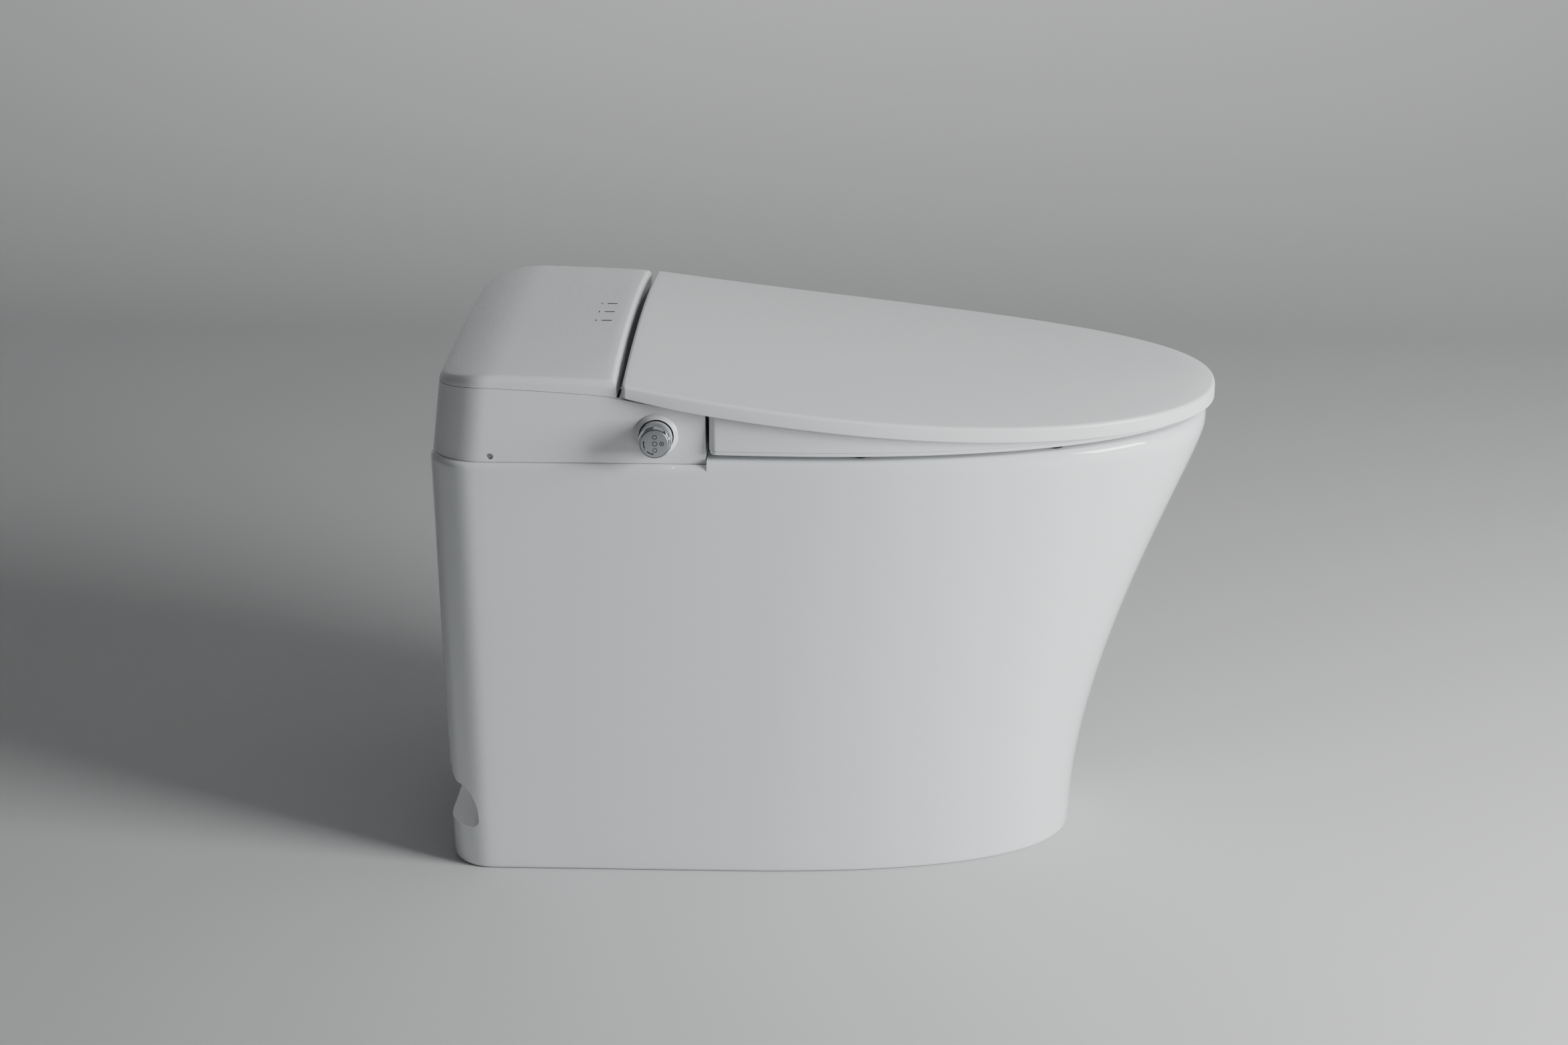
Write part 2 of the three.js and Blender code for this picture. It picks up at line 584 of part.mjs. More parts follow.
add(lidGroup, 'lid_outer', lidOuter(), seatPlastic);
add(lidGroup, 'lid_inner', lidInner(), seatPlastic);

// The bumpers lie along the slope of the liner.
const lidBumper = { x: 140, y: rearY - 300, radius: 6, height: 1.4 };
for (const [name, side] of [['lid_bumper_left', 1], ['lid_bumper_right', -1]]) {
  const at = (dx, dy) => lidTopZ(lidBumper.x + dx, lidBumper.y + dy);
  const slopeX = side * (at(1, 0) - at(-1, 0)) / 2;
  const slopeY = (at(0, 1) - at(0, -1)) / 2;
  const middle = at(0, 0) - (linerDrop + lid.linerThickness + seat.lidGap) / 2;
  const pad = new THREE.CylinderGeometry(lidBumper.radius, lidBumper.radius, lidBumper.height, 16);
  add(lidGroup, name, pad.rotateX(Math.PI / 2), rubber, [side * lidBumper.x, lidBumper.y, middle],
    [Math.atan(slopeY), -Math.atan(slopeX), 0]);
}

// ---------------------------------------------------------------- seat
const seatGroup = new THREE.Group();
seatUnit.add(seatGroup);
const seatPlan = {
  rear: seat.rearY, rearHalf: lidHalf(seat.rearY) - seat.inset, half: lid.width / 2 - seat.inset,
  widest: lid.widestY, nose: tipY + seat.inset, power: lid.power, corner: 7,
};

// The oval opening, with a point on the ray to each point of the rim.
function holeOutline(grow) {
  return planOutline(seatPlan).map(([x, y]) => {
    const a = Math.atan2(y - seat.holeY, x);
    const long = (y > seat.holeY ? seat.holeRear : seat.holeFront) + grow;
    const wide = seat.holeHalf + grow;
    const radius = (Math.abs(Math.cos(a) / wide) ** seat.holePower
      + Math.abs(Math.sin(a) / long) ** seat.holePower) ** (-1 / seat.holePower);
    return [radius * Math.cos(a), seat.holeY + radius * Math.sin(a)];
  });
}
const between = (outer, inner, t) => (
  outer.map(([x, y], i) => [mix(x, inner[i][0], t), mix(y, inner[i][1], t)])
);
const seatTopZ = (x, y) => lidTopZ(x, y) - seat.lidGap;
const seatSeamZ = seat.bottomZ + seat.seam;

function seatRecess(grow) {
  return block(-seat.recessHalf - grow, seat.recessHalf + grow, seat.rearY - seat.recessDepth - grow,
    seat.rearY + 5, seat.bottomZ - 5, seat.bottomZ + seat.recessRise + grow);
}

function seatTop() {
  const rim = planOutline(seatPlan);
  const hole = holeOutline(0);
  const w = seat.wall;
  const rimIn = planOutline(seatPlan, w);
  const holeOut = holeOutline(w);
  const ring = (t, z) => level(between(rim, hole, t), z);
  const dip = (depth) => (x, y) => seatTopZ(x, y) - depth;
  const rings = [
    level(rim, seatSeamZ), level(rim, dip(3)), level(planOutline(seatPlan, 3), dip(0)),
    ring(0.5, dip(1)), ring(0.88, dip(4.5)), ring(1, dip(11)), level(hole, seatSeamZ),
    level(holeOut, seatSeamZ), level(holeOut, dip(12)), level(between(rimIn, holeOut, 0.5), dip(1 + w)),
    level(rimIn, dip(3 + w)), level(rimIn, seatSeamZ),
  ];
  let body = solid(ringSkin(rings, true)).subtract(seatRecess(2 + gap));
  for (const side of [-1, 1]) {
    const [near, far] = span(...hinge.seatX, side);
    const root = seat.rearY - w;
    const arm = sideSweep([
      [root, seatTopZ(far, root) - 22], [root, seatTopZ(far, root) - 9],
      [hinge.y - 2, hinge.z + 2.5], [hinge.y + 2, hinge.z - hinge.bossRadius + 0.3],
    ], near, far);
    body = body.add(arm).add(rod('x', near, far, hingeAt, hinge.bossRadius, 20))
      .subtract(rod('x', near - 1, far + 1, hingeAt, hinge.pinRadius + gap, 16));
  }
  return body;
}

function seatBottom() {
  const rim = planOutline(seatPlan, 0.6);
  const hole = holeOutline(0.6);
  const high = seatSeamZ - 0.4;
  const plate = solid(ringSkin([
    level(planOutline(seatPlan, 1.6), seat.bottomZ), level(rim, seat.bottomZ + 1), level(rim, high),
    level(hole, high), level(hole, seat.bottomZ + 1), level(holeOutline(1.6), seat.bottomZ),
  ], true));
  const rear = block(-lid.width, lid.width, seat.rearY - 0.6, seat.rearY + 20, deckZ, deckZ + 100);
  const step = seatRecess(2).subtract(block(-lid.width, lid.width, tipY, rearY, deckZ - 20, seat.bottomZ));
  return plate.add(step).subtract(rear).subtract(seatRecess(0));
}
add(seatGroup, 'seat_top', seatTop(), seatPlastic);
add(seatGroup, 'seat_bottom', seatBottom(), seatPlastic);

const bumperSpots = [['front_left', 1, rearY - 550], ['front_right', -1, rearY - 550],
  ['rear_left', 1, rearY - 380], ['rear_right', -1, rearY - 380]];
for (const [name, side, y] of bumperSpots) {
  const height = seat.bottomZ - rimZ - 2 * gap;
  const foot = solid(new THREE.CylinderGeometry(6, 7, height, 16).rotateX(Math.PI / 2));
  add(seatGroup, `seat_bumper_${name}`, foot, rubber, [side * (lidHalf(y) - 28), y, rimZ + gap + height / 2]);
}

function seatHeater() {
  const low = seatSeamZ + 0.4;
  const [outer, inner] = [planOutline(seatPlan, 22), holeOutline(18)];
  const body = solid(ringSkin([level(outer, low), level(outer, low + 1.2), level(inner, low + 1.2),
    level(inner, low)], true));
  return body.subtract(seatRecess(3));
}
add(seatGroup, 'seat_heater', seatHeater(), satinMetal);

// ---------------------------------------------------------------- hinge line
for (const [name, side] of [['left', 1], ['right', -1]]) {
  const [near, far] = span(hinge.damperX[1] - 4, hinge.postX[1], side);
  add(seatUnit, `hinge_pin_${name}`, solid(new THREE.CylinderGeometry(hinge.pinRadius, hinge.pinRadius,
    far - near, 12).rotateZ(Math.PI / 2)), steel, [(near + far) / 2, hinge.y, hinge.z]);
}

// A soft-close damper: a round body on a foot that stands on the bay floor.
function damper(side) {
  const [near, far] = span(...hinge.damperX, side);
  const foot = bayFloorZ(hinge.y - 1) + gap;
  return rod('x', near, far, hingeAt, hinge.damperRadius, 20)
    .add(block(near + 3, far - 3, hinge.y - 9, hinge.y - 1, foot, hinge.z))
    .subtract(rod('x', near - 1, far + 1, hingeAt, hinge.pinRadius + gap, 12));
}
add(seatUnit, 'lid_damper', damper(1), darkPlastic);
add(seatUnit, 'seat_damper', damper(-1), darkPlastic);

// ---------------------------------------------------------------- control knob
const knobWall = unitHalf(knob.z);
const knobGroup = new THREE.Group();
knobGroup.position.set(-knobWall, knob.y, knob.z);
seatUnit.add(knobGroup);

add(knobGroup, 'knob_collar', turned([
  [knob.ringRadius + 1, -10], [knob.collarRadius - 1.8, -10], [knob.collarRadius - 1.8, 2],
  [knob.collarRadius, 2.2], [knob.collarRadius, 2.8], [knob.collarTip, knob.collarProud],
  [knob.ringRadius + 1, knob.collarProud - 0.4], [knob.ringRadius + 1, -10],
], '-x', [0, 0, 0], 24), whitePlastic);

const knobTip = knob.proud - 0.6;
add(knobGroup, 'knob_ring', turned([
  [0, -12], [knob.shaftRadius, -12], [knob.shaftRadius, -6], [knob.ringRadius, -6],
  [knob.ringRadius, knobTip - 3], [knob.faceRadius, knobTip], [knob.buttonRadius + play, knobTip],
  [knob.buttonRadius + play, knobTip - 3 - knob.travel], [0, knobTip - 3 - knob.travel],
], '-x', [0, 0, 0], 24), chrome);

add(knobGroup, 'knob_button', turned([
  [0, knobTip - 2.4], [knob.buttonRadius, knobTip - 2.4], [knob.buttonRadius, knobTip],
  [knob.buttonRadius - 0.6, knob.proud], [0, knob.proud],
], '-x', [0, 0, 0], 24), satinMetal);

add(seatUnit, 'knob_encoder', block(-7, 0, -9, 9, -9, 9), darkPlastic, [-knobWall + 20, knob.y, knob.z]);

// ---------------------------------------------------------------- base tray and fastenings
const trayLow = deckZ + tray.lift;
const trayTop = trayLow + tray.thickness;
const floorZ = trayTop + gap;

const inlet = { x: 95, y: rearY - 68, flange: 15, thread: 10.2, bore: 7, drop: 50 };
const gland = { x: -95, y: rearY - 68, flange: 13, radius: 9, bore: 4, drop: 24 };

function baseTray() {
  const plate = (z) => level(unitOutline(deckZ, unit.frontY, unit.wall + 4 * play), z);
  let body = solid(ringSkin([plate(trayLow), plate(trayTop)]));
  for (const side of [-1, 1]) {
    const boltAt = [side * deckBolt.x, deckBolt.y];
    body = body.subtract(rod('z', trayLow - 1, trayTop + 1, boltAt, deckBolt.radius + play, 16));
    const outer = side * (unit.footHalf - unit.wall - play);
    const [near, far] = [outer, outer - side * 11].sort((a, b) => a - b);
    body = body.add(block(near, far, sideScrew.y - 6, sideScrew.y + 6, trayLow, sideScrew.z + 6));
    const [from, to] = [outer + side, outer - side * 12].sort((a, b) => a - b);
    body = body.subtract(rod('x', from, to, [sideScrew.y, sideScrew.z], 1.8, 12));
  }
  for (const part of [inlet, gland]) {
    body = body.subtract(rod('z', trayLow - 1, trayTop + 1, [part.x, part.y], part.bore + 3.5, 16));
  }
  return body;
}
add(seatUnit, 'base_tray', baseTray(), greyPlastic);

for (const [name, side] of [['left', 1], ['right', -1]]) {
  const place = [side * deckBolt.x, deckBolt.y, floorZ];
  add(seatUnit, `deck_bolt_${name}`, turned([
    [0, -deckBolt.length], [deckBolt.radius, -deckBolt.length], [deckBolt.radius, 0],
    [deckBolt.headRadius, 0], [deckBolt.headRadius, 5], [0, 5],
  ], 'z', [0, 0, 0], 12), steel, place);
  const nutTop = deckZ - pan.deckThickness - gap;
  const bore = deckBolt.radius + gap;
  add(seatUnit, `deck_nut_${name}`, turned([
    [bore, -9], [deckBolt.nutRadius, -9], [deckBolt.nutRadius, 0], [bore, 0], [bore, -9],
  ], 'z', [0, 0, 0], 12), brass, [place[0], place[1], nutTop]);
  const head = unit.footHalf - 3.2;
  add(seatUnit, `side_lock_screw_${name}`, turned([[0, -10], [1.5, -10], [1.5, 0], [sideScrew.headRadius, 0],
    [sideScrew.headRadius, 2], [0, 2]], side > 0 ? 'x' : '-x', [0, 0, 0], 12), steel,
  [side * (head + 0.3), sideScrew.y, sideScrew.z]);
}

// ---------------------------------------------------------------- supply and flush under the tray
add(seatUnit, 'inlet_fitting', turned([
  [inlet.bore, -inlet.drop], [inlet.thread, -inlet.drop], [inlet.thread, -4], [inlet.flange, -4],
  [inlet.flange, 0], [inlet.bore, 0], [inlet.bore, -inlet.drop],
], 'z', [0, 0, 0], 24), brass, [inlet.x, inlet.y, trayLow - gap]);
add(seatUnit, 'cable_gland', turned([
  [gland.bore, -gland.drop], [gland.radius, -gland.drop], [gland.radius, -4], [gland.flange, -4],
  [gland.flange, 0], [gland.bore, 0], [gland.bore, -gland.drop],
], 'z', [0, 0, 0], 20), darkPlastic, [gland.x, gland.y, trayLow - gap]);

const flush = {
  x: 30, y: rearY - 68, width: 46, depth: 50, height: 44, drop: 6,
  coilRadius: 13, coilLength: 30, pipeRadius: 11,
};
const flushTop = trayLow - gap - flush.drop;
add(seatUnit, 'flush_valve', new THREE.BoxGeometry(flush.width, flush.depth, flush.height), greyPlastic,
  [flush.x, flush.y, flushTop - flush.height / 2]);
const coil = new THREE.CylinderGeometry(flush.coilRadius, flush.coilRadius, flush.coilLength, 16);
add(seatUnit, 'flush_coil', coil.rotateZ(Math.PI / 2), darkPlastic,
  [flush.x - flush.width / 2 - flush.coilLength / 2 - gap, flush.y, flushTop - flush.height / 2]);
const pipeTop = flushTop - flush.height - gap;
add(seatUnit, 'flush_pipe', bentBar([
  [flush.x + 5, flush.y, pipeTop], [flush.x + 5, flush.y, pipeTop - 40],
  [flush.x + 20, flush.y - 20, pipeTop - 80],
  [flush.x + 34, flush.y - 70, pipeTop - 110], [flush.x + 34, flush.y - 110, pipeTop - 118],
], flush.pipeRadius, 10, 10), greyPlastic);

// ---------------------------------------------------------------- wash nozzle
const tilt = THREE.MathUtils.degToRad(nozzle.angle);
const nozzleGroup = new THREE.Group();
nozzleGroup.position.set(nozzle.x, nozzle.tipY, nozzle.tipZ);
nozzleGroup.rotation.x = tilt;
seatUnit.add(nozzleGroup);
const rackPitch = (2 * Math.PI * nozzle.pinionRadius) / nozzle.pinionTeeth;
const tipLength = 20;
const rackFace = nozzle.radius + 1.5;
const pinionX = rackFace + nozzle.toothDepth / 2 + nozzle.pinionRadius;
const pinionY = tipLength + 14;
const wandEnd = pinionY + nozzle.travel + 8;

// The wand lies along +Y of its own group, with the rack along its +X side.
function nozzleWand() {
  const start = tipLength + gap;
  const width = rackPitch * 0.34;
  let body = rod('y', start, wandEnd, [0, 0], nozzle.radius, 20);
  body = body.add(block(0, rackFace, start + 1, wandEnd, -2.5, 2.5));
  for (let y = pinionY - 2.5 * rackPitch; y < wandEnd - width; y += rackPitch) {
    const [from, to] = [y - width / 2, y + width / 2];
    body = body.add(block(rackFace - 0.5, rackFace + nozzle.toothDepth, from, to, -2.5, 2.5));
  }
  return body;
}
add(nozzleGroup, 'nozzle_wand', nozzleWand(), seatPlastic);

const tipBody = rod('y', 0, tipLength, [0, 0], nozzle.radius, 24)
  .subtract(rod('z', 3, nozzle.radius + 1, [0, 7], 1.1, 10))
  .subtract(rod('z', 3, nozzle.radius + 1, [0, 13], 1.4, 10));
add(nozzleGroup, 'nozzle_tip', tipBody, satinMetal);

function pinion() {
  const core = nozzle.pinionRadius - nozzle.toothDepth / 2;
  let body = rod('z', -3, 3, [0, 0], core, 18).add(rod('z', -9, -3, [0, 0], 2, 12));
  const tip = nozzle.pinionRadius + nozzle.toothDepth / 2 - 0.25;
  for (let i = 0; i < nozzle.pinionTeeth; i += 1) {
    const tooth = new THREE.BoxGeometry(tip - core + 1, rackPitch * 0.32, 6);
    tooth.translate((tip + core - 1) / 2, 0, 0).rotateZ(((i + 0.5) / nozzle.pinionTeeth) * 2 * Math.PI);
    body = body.add(solid(tooth));
  }
  return body;
}
add(nozzleGroup, 'nozzle_pinion', pinion(), darkPlastic, [pinionX, pinionY, 0]);
const motorRadius = 9;
const motorBody = rod('z', -15, -4, [0, 0], motorRadius, 18).subtract(rod('z', -10, -3, [0, 0], 2.4, 12));
add(nozzleGroup, 'nozzle_motor', motorBody, darkPlastic, [pinionX, pinionY, 0]);

function nozzleCradle() {
  const wide = nozzle.radius + play + 2;
  const low = -nozzle.radius - play - 2;
  return block(-wide, wide, 8, nozzle.length, low, -2)
    .subtract(rod('y', 0, nozzle.length + 5, [0, 0], nozzle.radius + play, 24))
    .subtract(block(nozzle.radius - 2, wide + 1, 5, nozzle.length + 5, -4, 0))
    .subtract(rod('z', low - 1, 0, [pinionX, pinionY], motorRadius + play, 20));
}
add(nozzleGroup, 'nozzle_cradle', nozzleCradle(), greyPlastic);

// ---------------------------------------------------------------- warm air dryer
function impeller(radius, low, high, blades, hub) {
  let body = rod('z', low, high, [0, 0], hub, 16).add(rod('z', low, low + 1.5, [0, 0], radius, 28));
  for (let i = 0; i < blades; i += 1) {
    const blade = new THREE.BoxGeometry(radius - hub - 1, 1.4, high - low);
    blade.translate((radius + hub - 2) / 2, 0, (low + high) / 2).rotateZ((i / blades) * 2 * Math.PI);
    body = body.add(solid(blade));
  }
  return body.subtract(rod('z', low - 1, low + 7, [0, 0], 2.5, 12));
}

const ductTop = deckZ + 8 + dryer.portHeight - 0.5;
function blowerHousing() {
  const top = floorZ + dryer.height;
  const at = [0, 0];
  return rod('z', floorZ, top, at, dryer.radius, 32)
    .add(block(-dryer.portHalf, dryer.portHalf, -dryer.radius - 6, 0, floorZ, ductTop))
    .subtract(rod('z', floorZ + 2, top - 2, at, dryer.radius - 2.5, 32))
    .subtract(block(-dryer.portHalf + 2, dryer.portHalf - 2, -dryer.radius - 8, 0, floorZ + 2, ductTop - 2))
    .subtract(rod('z', top - 4, top + 1, at, 20, 24))
    .add(rod('z', floorZ + 1, floorZ + 7, at, 2, 12));
}
const blowerPlace = [dryer.x, dryer.y, 0];
add(seatUnit, 'blower_housing', blowerHousing(), darkPlastic, blowerPlace);
const dryerWheel = impeller(dryer.fanRadius, floorZ + 3.5, floorZ + dryer.height - 4, 8, 9);
add(seatUnit, 'dryer_fan', dryerWheel, greyPlastic, blowerPlace);

const ductRear = dryer.y - dryer.radius - 6 - gap;
const ductFront = unit.frontY + unit.wall + gap;
const ductHalf = dryer.portHalf;
const airway = block(-ductHalf + 2, ductHalf - 2, ductFront - 1, ductRear + 1, floorZ + 2, ductTop - 2);
const duct = block(-ductHalf, ductHalf, ductFront, ductRear, floorZ, ductTop).subtract(airway);
add(seatUnit, 'dryer_duct', duct, greyPlastic, [dryer.x, 0, 0]);

const flapHeight = dryer.portHeight - 1.2;
add(seatUnit, 'dryer_flap', block(-dryer.portHalf + 0.4, dryer.portHalf - 0.4, -1.8, 0, -flapHeight, 0)
  .add(rod('x', -dryer.portHalf + 0.4, dryer.portHalf - 0.4, [-1.0, 0], 1, 10)), whitePlastic,
[dryer.x, unit.frontY + 2.4, deckZ + 8 + dryer.portHeight - 1.5]);

// ---------------------------------------------------------------- deodoriser
const scent = deodoriser;
function deodoriserCase() {
  const half = scent.width / 2;
  return block(-half, half, 0, scent.depth, floorZ, floorZ + scent.height)
    .subtract(block(-half + 2, half - 2, -1, scent.depth - 2, floorZ + 2, floorZ + scent.height - 2))
    .subtract(rod('z', floorZ + scent.height - 3, floorZ + scent.height + 1, [0, scent.depth - 23], 12, 20))
    .add(rod('z', floorZ + 1, floorZ + 6, [0, scent.depth - 23], 2, 12));
}
const scentPlace = [scent.x, scent.frontY, 0];
add(seatUnit, 'deodoriser_case', deodoriserCase(), greyPlastic, scentPlace);
add(seatUnit, 'carbon_cartridge', new THREE.BoxGeometry(scent.width - 6, 10, scent.height - 5), carbon,
  [scent.x, scent.frontY + 7, floorZ + scent.height / 2]);
const scentWheel = impeller(scent.fanRadius, floorZ + 3, floorZ + scent.height - 4, 6, 6);
add(seatUnit, 'deodoriser_fan', scentWheel, darkPlastic, [scent.x, scent.frontY + scent.depth - 23, 0]);

// ---------------------------------------------------------------- wash water and electronics
const heater = { x: -80, y: rearY - 50, width: 120, depth: 40, height: 42 };
const tankEnd = heater.width / 2;
const tank = block(-tankEnd, tankEnd, -heater.depth / 2, heater.depth / 2, 0, heater.height)
  .add(rod('x', tankEnd - 1, tankEnd + 12, [-8, 12], 5, 14))
  .add(rod('x', tankEnd - 1, tankEnd + 12, [8, 30], 5, 14));
add(seatUnit, 'water_heater', tank, satinMetal, [heater.x, heater.y, floorZ]);

const valve = { x: 132, y: rearY - 60, size: 34, height: 30 };
add(seatUnit, 'inlet_valve', new THREE.BoxGeometry(valve.size, valve.size, valve.height), whitePlastic,
  [valve.x, valve.y, floorZ + valve.height / 2]);
add(seatUnit, 'valve_coil', new THREE.CylinderGeometry(11, 11, 22, 16).rotateX(Math.PI / 2), darkPlastic,
  [valve.x, valve.y, floorZ + valve.height + gap + 11]);
add(seatUnit, 'spray_pump', new THREE.CylinderGeometry(13, 13, 46, 16), darkPlastic,
  [132, rearY - 120, floorZ + 13.5]);

// A printed circuit board, its middle at the origin, with its lower face at the given height.
function boardPlate(width, depth, low) {
  return block(-width / 2, width / 2, -depth / 2, depth / 2, low, low + 1.6);
}
const powerBoard = { x: -110, y: rearY - 112, width: 84, depth: 60 };
let board = boardPlate(powerBoard.width, powerBoard.depth, 4);
for (const [x, y, w, d, h] of [[-24, 8, 22, 26, 24], [10, 14, 26, 20, 18], [12, -16, 14, 14, 22]]) {
  board = board.add(block(x - w / 2, x + w / 2, y - d / 2, y + d / 2, 5, 5.6 + h));
}
add(seatUnit, 'power_board', board, circuitGreen, [powerBoard.x, powerBoard.y, floorZ]);

const controlBoard = { x: -78, y: rearY - 100, width: 96, depth: 54, drop: 26 };
const controlZ = deckZ + unit.coverRise - controlBoard.drop;
const controlPlate = boardPlate(controlBoard.width, controlBoard.depth, 0)
  .add(block(-14, 14, -10, 10, 1, 5))
  .add(block(22, 40, -22, -12, 1, 9));
add(seatUnit, 'control_board', controlPlate, circuitGreen, [controlBoard.x, controlBoard.y, controlZ]);

// ---------------------------------------------------------------- indicators
const skyZ = (x) => coverTopZ(x, indicator.y);
for (let i = -1; i <= 1; i += 1) {
  const x = i * indicator.pitch;
  const length = indicator.length - 0.5;
  const width = indicator.width - 0.5;
  add(seatUnit, `indicator_light_${i + 2}`, new THREE.BoxGeometry(width, length, 7), darkPlastic,
    [x, indicator.y, skyZ(x) - 0.3 - 3.5]);
}
const boardTop = skyZ(indicator.pitch) - 7.6 - gap;
add(seatUnit, 'indicator_board', new THREE.BoxGeometry(2 * indicator.pitch + 16, 14, 1.6), circuitGreen,
  [0, indicator.y, boardTop - 0.8]);

export default toilet;
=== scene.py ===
"""Floor-standing bidet toilet: fine shells, procedural materials, studio light and camera.

Outlines and heights are worked out in millimetres from the boxes of the CAD nodes, and every mesh is
written in metres in the same frame: +Z up, front towards -Y, the control knob on the -X side.
"""
import json
import math

import bmesh
import bpy
from mathutils import Matrix, Vector


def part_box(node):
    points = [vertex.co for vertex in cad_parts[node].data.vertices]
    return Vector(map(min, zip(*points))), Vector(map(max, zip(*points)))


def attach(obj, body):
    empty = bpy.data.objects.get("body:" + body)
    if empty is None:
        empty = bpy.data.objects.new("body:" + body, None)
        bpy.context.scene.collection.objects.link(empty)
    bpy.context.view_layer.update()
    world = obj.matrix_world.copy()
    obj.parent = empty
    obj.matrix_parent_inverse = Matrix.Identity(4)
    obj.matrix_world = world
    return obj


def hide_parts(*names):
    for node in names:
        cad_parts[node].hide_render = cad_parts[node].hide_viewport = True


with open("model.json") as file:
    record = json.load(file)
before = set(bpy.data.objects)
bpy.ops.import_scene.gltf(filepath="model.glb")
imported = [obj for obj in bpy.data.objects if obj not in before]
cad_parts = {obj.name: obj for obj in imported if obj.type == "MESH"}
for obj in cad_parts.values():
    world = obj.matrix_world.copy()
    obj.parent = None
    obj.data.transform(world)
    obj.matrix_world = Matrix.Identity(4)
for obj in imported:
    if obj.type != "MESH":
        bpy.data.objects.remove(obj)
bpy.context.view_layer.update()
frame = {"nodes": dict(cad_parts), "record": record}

MM = 0.001


# ------------------------------------------------------------------ dimensions, read from the frame
def node_box(node):
    low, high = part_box(node)
    return Vector(low) / MM, Vector(high) / MM


pan_high = node_box("ceramic_pan")[1]
lid_low, lid_high = node_box("lid_outer")
cover_low, cover_high = node_box("top_cover")
ring_low, ring_high = node_box("knob_ring")

REAR_Y = pan_high.y
TIP_Y = lid_low.y
RIM_Z = pan_high.z
DECK_Z = RIM_Z - 5.5  # top of the pan under the seat unit

LID_HALF = lid_high.x
LID_REAR_Y = lid_high.y
LID_REAR_HALF = LID_HALF - 9.1
WIDEST_Y = REAR_Y - 332.4  # where pan, seat and lid are widest
LID_POWER = 2.15
LID_CROWN = 11.0
LID_RISE, LID_SLOPE, LID_SAG = 74.0, 89.0, 44.0
LID_BAND, LID_REAR_BAND = 13.4, 11.2
LID_SKIN = 2.6

UNIT_FRONT_Y = node_box("housing_shell")[0].y
COVER_Y = cover_low.y
COVER_HALF = cover_high.x
COVER_RISE, TOP_RISE, COVER_REAR = 75.0, 85.6, 6.5
DROP, DROP_FROM, DROP_LENGTH = 12.0, 0.6, 0.34  # how the cover falls away to the rear
SEAM_FRONT, SEAM_REAR, SEAM_FOLLOWS = 14.5, 9.6, 0.45
SHOULDER_FRONT, SHOULDER_REAR = 45.5, 60.5
UNIT_FOOT_HALF = COVER_HALF - 6.6
UNIT_CORNER, UNIT_EDGE, WALL_SUNK = 48.0, 6.0, 5.0
REAR_INSET, REAR_LEAN = 1.2, 9.6
CASE_WALL = 3.0

SEAT_INSET = 8.6
SEAT_REAR_Y = UNIT_FRONT_Y - 3.0
SEAT_BOTTOM = DECK_Z + 11.0
SEAT_SEAM = SEAT_BOTTOM + 3.8
SEAT_WALL, LID_GAP = 3.0, 8.0

KNOB_Y = (ring_low.y + ring_high.y) / 2
KNOB_Z = (ring_low.z + ring_high.z) / 2
KNOB_TIP = node_box("knob_button")[0].x

HINGE_Y = LID_REAR_Y - 10.6
HINGE_Z = DECK_Z + 71.0
HINGE_AT = (HINGE_Y, HINGE_Z)
PIN_HOLE, EYE, POST_EYE, DAMPER_ROOM = 2.8, 5.6, 4.2, 7.7  # radii on the hinge line
POST_X, SEAT_ARM_X, DAMPER_X = (98, 105), (63, 79), (18, 62)

FINE = 26  # points along each stretch of a plan outline
TRIM = 250.0  # half width of a block that only cuts away
SHARP = 32  # degrees between faces from which an edge stays sharp


def mix(a, b, t):
    return a + (b - a) * t


def quarter(steps, first=0):
    """Angles of a quarter turn in equal steps."""
    return [i / steps * math.pi / 2 for i in range(first, steps + 1)]


# ------------------------------------------------------------------ outlines and surfaces
def plan_outline(rear, rear_half, half, widest, nose, power, corner, inset=0.0, fine=FINE):
    """Mirror-symmetric outline, anticlockwise from the middle of the rear edge."""
    back, back_half, full = rear - inset, rear_half - inset, half - inset
    reach = widest - (nose + inset)
    bend = max(corner - inset, 0.4)
    side = []
    for i in range(8):
        side.append((-(back_half - bend) * i / 8, back))

    def flank(y):
        return full - (full - back_half) * ((y - widest) / (back - widest)) ** 2

    start = flank(back - bend)
    for a in quarter(12):
        x = -(back_half - bend) - (start - back_half + bend) * math.sin(a)
        side.append((x, back - bend + bend * math.cos(a)))
    for i in range(1, fine):
        y = mix(back - bend, widest, i / fine)
        side.append((-flank(y), y))
    for a in quarter(2 * fine):
        x = -full * max(math.cos(a), 0.0) ** (2 / power)
        side.append((x, widest - reach * math.sin(a) ** (2 / power)))
    return side + [(-x, y) for x, y in reversed(side[1:-1])]


def level(outline, z):
    return [(x, y, z(x, y) if callable(z) else z) for x, y in outline]


def shrink(outline, share, y0):
    return [(x * share, y0 + (y - y0) * share) for x, y in outline]


def between(outer, inner, t):
    return [(mix(a[0], b[0], t), mix(a[1], b[1], t)) for a, b in zip(outer, inner)]


def lid_share(y):
    return (LID_REAR_Y - y) / (LID_REAR_Y - TIP_Y)


def lid_edge_z(y):
    return DECK_Z + LID_RISE - LID_SLOPE * lid_share(y) + LID_SAG * lid_share(y) ** 2


def lid_half(y):
    if y > WIDEST_Y:
        return LID_HALF - (LID_HALF - LID_REAR_HALF) * ((y - WIDEST_Y) / (LID_REAR_Y - WIDEST_Y)) ** 2
    u = min(1.0, (WIDEST_Y - y) / (WIDEST_Y - TIP_Y))
    return LID_HALF * (1 - u ** LID_POWER) ** (1 / LID_POWER)


def lid_top_z(x, y):
    half = max(lid_half(y), 1.0)
    return lid_edge_z(y) + LID_CROWN * half / LID_HALF * (1 - min(1.0, (x / half) ** 2))


